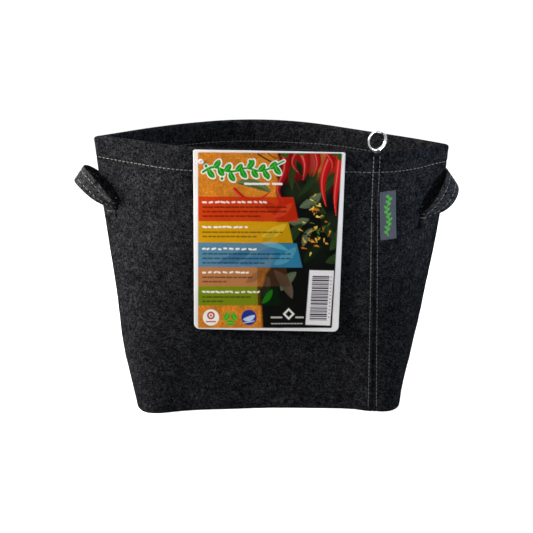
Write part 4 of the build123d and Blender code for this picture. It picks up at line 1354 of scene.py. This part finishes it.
def hang_card():
    # (y, up) of the card's side view, by the distance below its top line
    side_view = np.array([(CARD_OUT - CARD_LEAN * q, -q) for q in (1.6, 22.0, 90.0, 159.2)])
    lengths = arc_lengths(side_view)
    total = lengths[-1]
    step = .46
    rows, cols = int(total / step), int(2 * CARD_HALF / step)
    down = np.linspace(0, total, rows)
    even = np.linspace(-CARD_HALF, CARD_HALF, cols)
    line = np.stack([blur(np.interp(down, lengths, side_view[:, k]), 7, **MIRRORED)
                     for k in (0, 1)], -1)
    direction = tangents(line)
    normal = np.c_[direction[:, 1], -direction[:, 0]]
    half = np.minimum(card_half_width(total - down, 5.2), card_half_width(down, 1.3))
    across = even * (half / CARD_HALF)[:, None]

    # the card bows slightly, its foot corners lift and it waves a little
    drop = -line[:, 1:]
    share = across / CARD_HALF
    bow = (.9 * np.cos(share * 1.4) * np.clip((drop - 24) / 60, 0, 1)
           + 1.1 * share ** 4 * np.clip((drop - 110) / 55, 0, 1))
    wave = np.array([[noise.noise(Vector((u / 34, s / 41, 3.3))) for u in even[::8]]
                     for s in down[::8]])
    coarse_rows, coarse_cols = wave.shape
    at_row = np.linspace(0, coarse_rows - 1, rows)
    at_col = np.linspace(0, coarse_cols - 1, cols)
    wave = np.array([np.interp(at_col, np.arange(coarse_cols), row) for row in wave])
    wave = np.array([np.interp(at_row, np.arange(coarse_rows), col) for col in wave.T]).T
    bow = bow + wave * .35 * np.clip(down[:, None] / 60, 0, 1)

    def sheet(lift):
        a, b = (line[:, k:k + 1] + normal[:, k:k + 1] * lift for k in (0, 1))
        return (card_top + across[..., None] * card_x + a[..., None] * Y_AXIS
                + b[..., None] * card_up).reshape(-1, 3)

    verts = np.vstack([sheet(bow + CARD_THICK / 2), sheet(bow - CARD_THICK / 2)])
    art = card_art(*on_sheet(sheet(np.zeros_like(bow))))
    card = new_object("hang_card", verts, sheet_faces(rows, cols), card_material())
    set_art(card, np.vstack([art, np.tile(rgb(232, 230, 226), (rows * cols, 1))]))
    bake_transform(card)
    cover(card, "printed_card", "card_header", "card_leaf")


hang_card()

# ---------------------------------------------------------------- stud through the card
STUD_DROP, STUD_X = 11.5, -55.9
# (radius, y from the front of the head), from the inner end to the head
STUD_PROFILE = [(.5, 9.7), (1.75, 9.5), (1.9, 9.0), (1.7, 8.7), (.7, 8.6), (.58, 8.0), (.58, 1.3),
                (.7, 1.02), (2.2, .95), (2.32, .7), (2.28, .42), (2.0, .10), (1.5, .0), (.9, .18),
                (.35, .35)]


def plastic_material():
    s = Shader("white_plastic")
    n = s.noise(s.rest_mm(), scale=1.4, detail=4)
    return s.finish({"Base Color": s.ramp(n, (.3, (.66, .66, .64)), (.7, (.80, .80, .78))),
                     "Roughness": s.ramp(n, (.3, .32), (.7, .48)),
                     "Subsurface Weight": .15, "Subsurface Radius": (.001, .001, .001)})


def card_stud(sides=40):
    head = (card_top + card_x * STUD_X - card_up * STUD_DROP
            + Y_AXIS * (CARD_OUT - CARD_LEAN * STUD_DROP - .1 - 1.15))
    radii, ys = np.array(STUD_PROFILE).T
    spoke_x, spoke_z = np.tile([1.0, 0, 0], (len(ys), 1)), np.tile(-Z_AXIS, (len(ys), 1))
    verts = sweep(head + ys[:, None] * Y_AXIS, spoke_x, spoke_z, radii, sides)
    stud = new_object("card_stud", verts, capped_faces(len(ys), sides), plastic_material())
    attach(stud, "white_plastic", "card_pin")


card_stud()

# ---------------------------------------------------------------- split ring and its binding
RING_FOOT = np.array([RING_X, -58.749, 233.757])
RING_RADIUS = (18.0 - 1.5) / 2      # to the middle of the wire
WIRE_RADIUS, RING_PITCH, RING_TURNS = .9, 1.78, 1.9
ring_yaw = math.radians(25.0)
ring_axis = np.array([math.cos(ring_yaw), math.sin(ring_yaw), 0])       # in the ring's plane
ring_normal = np.array([math.sin(ring_yaw), -math.cos(ring_yaw), 0])


def steel_material():
    s = Shader("ring_steel")
    place = s.rest_mm()
    n = s.noise(place, scale=.9, detail=4)
    fine = s.noise(place, scale=7.0, detail=2, mapping={"Scale": (1, 1, .25)})
    s.bump(fine, strength=.12, distance=.00008)
    return s.finish({"Base Color": s.ramp(n, (.3, (.80, .80, .81)), (.7, .95)), "Metallic": 1.0,
                     "Roughness": s.ramp(fine, (.3, .12), (.7, .27))})


def split_ring(count=260, sides=18):
    centre = RING_FOOT + (-.8, 0, RING_RADIUS + .7)
    turn = np.linspace(0, 2 * math.pi * RING_TURNS, count)[:, None]
    angle = turn + math.radians(8)
    # the turns lie flat against each other and the wire steps across over a short arc
    step = np.interp(turn / (2 * math.pi), [.42, .58], [0, 1]) - .5
    points = (centre + ring_normal * RING_PITCH * step
              + RING_RADIUS * (np.cos(angle) * -Z_AXIS
                               + np.sin(angle) * np.cross(ring_normal, -Z_AXIS)))
    tangent = tangents(points)
    u = [np.cross(tangent[0], [.1, .2, 1.0])]
    for direction in tangent:
        u.append(unit(u[-1] - direction * (u[-1] @ direction)))
    u = np.array(u[1:])
    radii = np.full(count, WIRE_RADIUS)
    radii[[0, -1]] = WIRE_RADIUS * .55
    radii[[1, -2]] = WIRE_RADIUS * .92
    verts = sweep(points, u, np.cross(tangent, u), radii, sides)
    coil = new_object("split_ring_coil", verts, capped_faces(count, sides), steel_material())
    attach(coil, "ring_steel", "split_ring", body="ring")


def ring_binding(count=28, sides=8):
    """Five loops of dark thread over the rim."""
    verts, faces = [], []
    angle = np.linspace(0, 2 * math.pi, count, endpoint=False)[:, None]
    for k, shift in enumerate((-1.9, -.9, .1, 1.1, 2.0)):
        loop = (RING_FOOT + ring_axis * shift + Z_AXIS * np.cos(angle) * 1.28
                + np.cross(ring_axis, Z_AXIS) * np.sin(angle) * 1.75
                + ring_axis * .28 * np.sin(angle + k))
        tangent = unit(np.roll(loop, -1, 0) - np.roll(loop, 1, 0))
        u = unit(ring_axis - tangent * (tangent @ ring_axis)[:, None])
        faces += [tuple(k * count * sides + i for i in face)
                  for face in grid_faces(count, sides, close_rows=True, close_cols=True)]
        verts.append(sweep(loop, u, np.cross(tangent, u), np.full(count, .34), sides))
    binding = new_object("ring_thread", np.vstack(verts), faces, DARK_THREAD)
    attach(binding, "dark_thread", "ring_binding")


split_ring()
ring_binding()

# ---------------------------------------------------------------- woven side tag with a vine
TAG_X, TAG_Z = 94.4, 178.2
TAG_HALF_H, TAG_WIDTH, TAG_ROOT = 20.7, 11.0, 2.7       # the root lies left of the tag's origin
TAG_HALF_THICK = .21


def tag_material():
    s = Shader("woven_tag")
    art = s.art()
    place = s.rest_mm()
    n = s.noise(place, scale=4.0, roughness=.7)
    warp = s.add("TexWave", {"Scale": .58, "Distortion": .6, "Vector": place},
                 wave_type="BANDS", bands_direction="Z")
    colour = s.tint(art, n, (.3, .75), (.7, 1.25))
    colour = s.mix(1.0, colour, (.66, .70, .66), "MULTIPLY")
    s.bump(s.total(warp.outputs[1], n), strength=.5, distance=.00012)
    return s.finish({"Base Color": colour, "Roughness": .7, "Sheen Weight": .3})


def tag_art(u, v):
    paint = Paint(u, -v)
    weft = .5 + .5 * np.sin(v * 2 * math.pi / .7)
    shade = .78 + .34 * weft + .14 * field_noise(u, v, .8, 8)
    shade = np.where(np.abs(v) > TAG_HALF_H - .8, shade * .6, shade)
    paint.colours = rgb(72, 77, 96) * shade[:, None]
    stem = [(4.2 + math.sin(q * .34), q) for q in np.linspace(-17.5, 17.5, 17)]
    paint.stroke(stem, rgb(74, 186, 36), .55, soft=.3)
    for i, (x, y) in enumerate(stem[1:-1]):
        side = 1 if i % 2 else -1
        paint.leaf((x, y), (x + side * 2.2, y - 2.1), .8, rgb(84, 196, 44), bend=.1 * side)
    return paint.colours * (.86 + .2 * weft)[:, None]


def side_tag(cols=62, rows=190):
    wall_y, low_y, high_y = (wall_at("front", TAG_X, TAG_Z + dz)[0][1]
                             for dz in (0, -TAG_HALF_H, TAG_HALF_H))
    up = unit([-.045, (high_y - low_y) / (2 * TAG_HALF_H), 1.0])
    origin = np.array([TAG_X, min(wall_y, (low_y + high_y) / 2) - .62, TAG_Z])
    far_y = wall_at("front", TAG_X + TAG_WIDTH, TAG_Z)[0][1]
    out = unit([TAG_WIDTH, far_y - wall_y - .55, 1.1])
    normal = unit(np.cross(out, up))
    v, u = np.meshgrid(np.linspace(-TAG_HALF_H, TAG_HALF_H, rows),
                       np.linspace(-TAG_ROOT, TAG_WIDTH - .1, cols), indexing="ij")
    # the free edge and the lower corner stand off; a shallow groove crosses the root
    free = np.maximum((u + TAG_ROOT) / (TAG_WIDTH + TAG_ROOT) - .35, 0)
    low = -v / TAG_HALF_H
    lift = (.10 + .9 * free ** 1.6 * (1 + .8 * np.maximum(low, 0))
            + 3.0 * np.maximum(low - .6, 0) ** 1.4
            + .10 * np.sin(v * .6 + u * .3) - .30 * bell(u + 1.6, 1.1))
    frayed = u.copy()
    frayed[:, -1] += .10 * np.sin(v[:, -1] * 9.0)
    middle = (origin + out * frayed[..., None] + up * v[..., None]
              + normal * lift[..., None]).reshape(-1, 3)
    half = normal * TAG_HALF_THICK
    art = tag_art(u.ravel(), v.ravel())
    tag = new_object("woven_side_tag", np.vstack([middle + half, middle - half]),
                     sheet_faces(rows, cols), tag_material())
    set_art(tag, np.vstack([art, np.tile(rgb(64, 68, 84), (rows * cols, 1))]))
    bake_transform(tag)
    cover(tag, "woven_tag", "side_tag", "side_tag_root")


side_tag()


# ---------------------------------------------------------------- floor and world, in metres
def floor_material():
    """Bright paper to the camera, grey to everything else; it fades into the white world."""
    s = Shader("floor_paper")
    camera_ray = s.add("LightPath").outputs["Is Camera Ray"]
    position = s.add("NewGeometry").outputs["Position"]
    reach = s.add("VectorMath", {0: position}, operation="LENGTH").outputs["Value"]
    far = s.add("MapRange", {"From Min": .28, "From Max": 1.1, "Value": reach},
                interpolation_type="SMOOTHSTEP").outputs["Result"]
    speck = s.noise(position, scale=20, roughness=.5)
    paper = s.mix(far, s.ramp(speck, (.3, .92), (.7, .94)), 0)
    glow = s.total(s.product(far, .4), .6)
    return s.finish({"Base Color": s.mix(camera_ray, .34, paper), "Roughness": .95,
                     "Specular IOR Level": s.product(s.math("SUBTRACT", 1.0, far), .1),
                     "Emission Color": 1, "Emission Strength": s.product(camera_ray, glow)})


bpy.ops.mesh.primitive_plane_add(size=120, location=(0, 0, -.0002))
floor = bpy.context.object
floor.name = "floor"
floor.data.materials.append(floor_material())


def studio_world(strength=.30):
    """Plain white to the camera and in reflections, a dimmer cool light otherwise."""
    world = bpy.data.worlds.new("studio")
    scene.world = world
    w = Nodes(world)
    path = w.add("LightPath").outputs
    seen = w.math("MAXIMUM", path["Is Camera Ray"], path["Is Glossy Ray"])
    level = w.total(w.product(seen, 1.0 - strength), strength)
    w.feed(w.tree.nodes["Background"], {0: w.mix(seen, (.90, .95, 1.0), 1), 1: level})


studio_world()


# ---------------------------------------------------------------- lights and camera, in metres
def look_at(thing, place, target):
    thing.location = place
    thing.rotation_euler = (Vector(target) - Vector(place)).to_track_quat("-Z", "Y").to_euler()


def add_light(kind, name, place, target, power, colour, **settings):
    data = bpy.data.lights.new(name, kind)
    data.energy = power
    data.color = colour
    for key, value in settings.items():
        setattr(data, key, value)
    light = bpy.data.objects.new(name, data)
    look_at(light, place, target)
    scene.collection.objects.link(light)


def add_area(name, place, target, size, power, colour=(1, 1, 1)):
    add_light("AREA", name, place, target, power, colour, shape="DISK", size=size)


def add_spot(name, place, target, cone, softness, power, colour):
    """The cone is in degrees."""
    add_light("SPOT", name, place, target, power, colour, spot_size=math.radians(cone),
              spot_blend=1.0, shadow_soft_size=softness)


add_area("key", (-1.45, -.30, .75), (0, 0, .1), size=.6, power=55.0, colour=(1, .95, .88))
add_area("fill", (.5, -1.5, .8), (0, 0, .1), size=.8, power=2.0, colour=(.93, .96, 1))
add_area("side", (1.3, -.06, .85), (.05, 0, .12), size=.6, power=11.0, colour=(.82, .90, 1))
add_area("back", (.7, 1.3, .9), (0, 0, .1), size=.8, power=6.0, colour=(.95, .97, 1))
add_spot("corner", (-.85, -.62, .55), (-.155, -.045, .205), cone=10.5, softness=.05,
         power=54.0, colour=(1, .95, .86))
add_spot("right_hem", (.85, -.70, .20), (.142, -.04, .197), cone=11.5, softness=.05,
         power=32.0, colour=(.72, .84, 1))
add_spot("well", (0, -.05, 1.6), (0, 0, 0), cone=7.5, softness=.08,
         power=9.0, colour=(.95, .97, 1))
add_area("top", (0, .3, 1.6), (0, 0, .1), size=.9, power=2.0)

camera_data = bpy.data.cameras.new("camera")
camera = bpy.data.objects.new("camera", camera_data)
scene.collection.objects.link(camera)
look_at(camera, EYE * MM, AIM * MM)
camera_data.lens, camera_data.sensor_width = 70.37, 36.0        # in mm
camera_data.shift_x, camera_data.shift_y = 0, -.01534
camera_data.clip_start, camera_data.clip_end = .01, 50
scene.camera = camera
scene.view_settings.view_transform = "Standard"
scene.view_settings.look = "None"
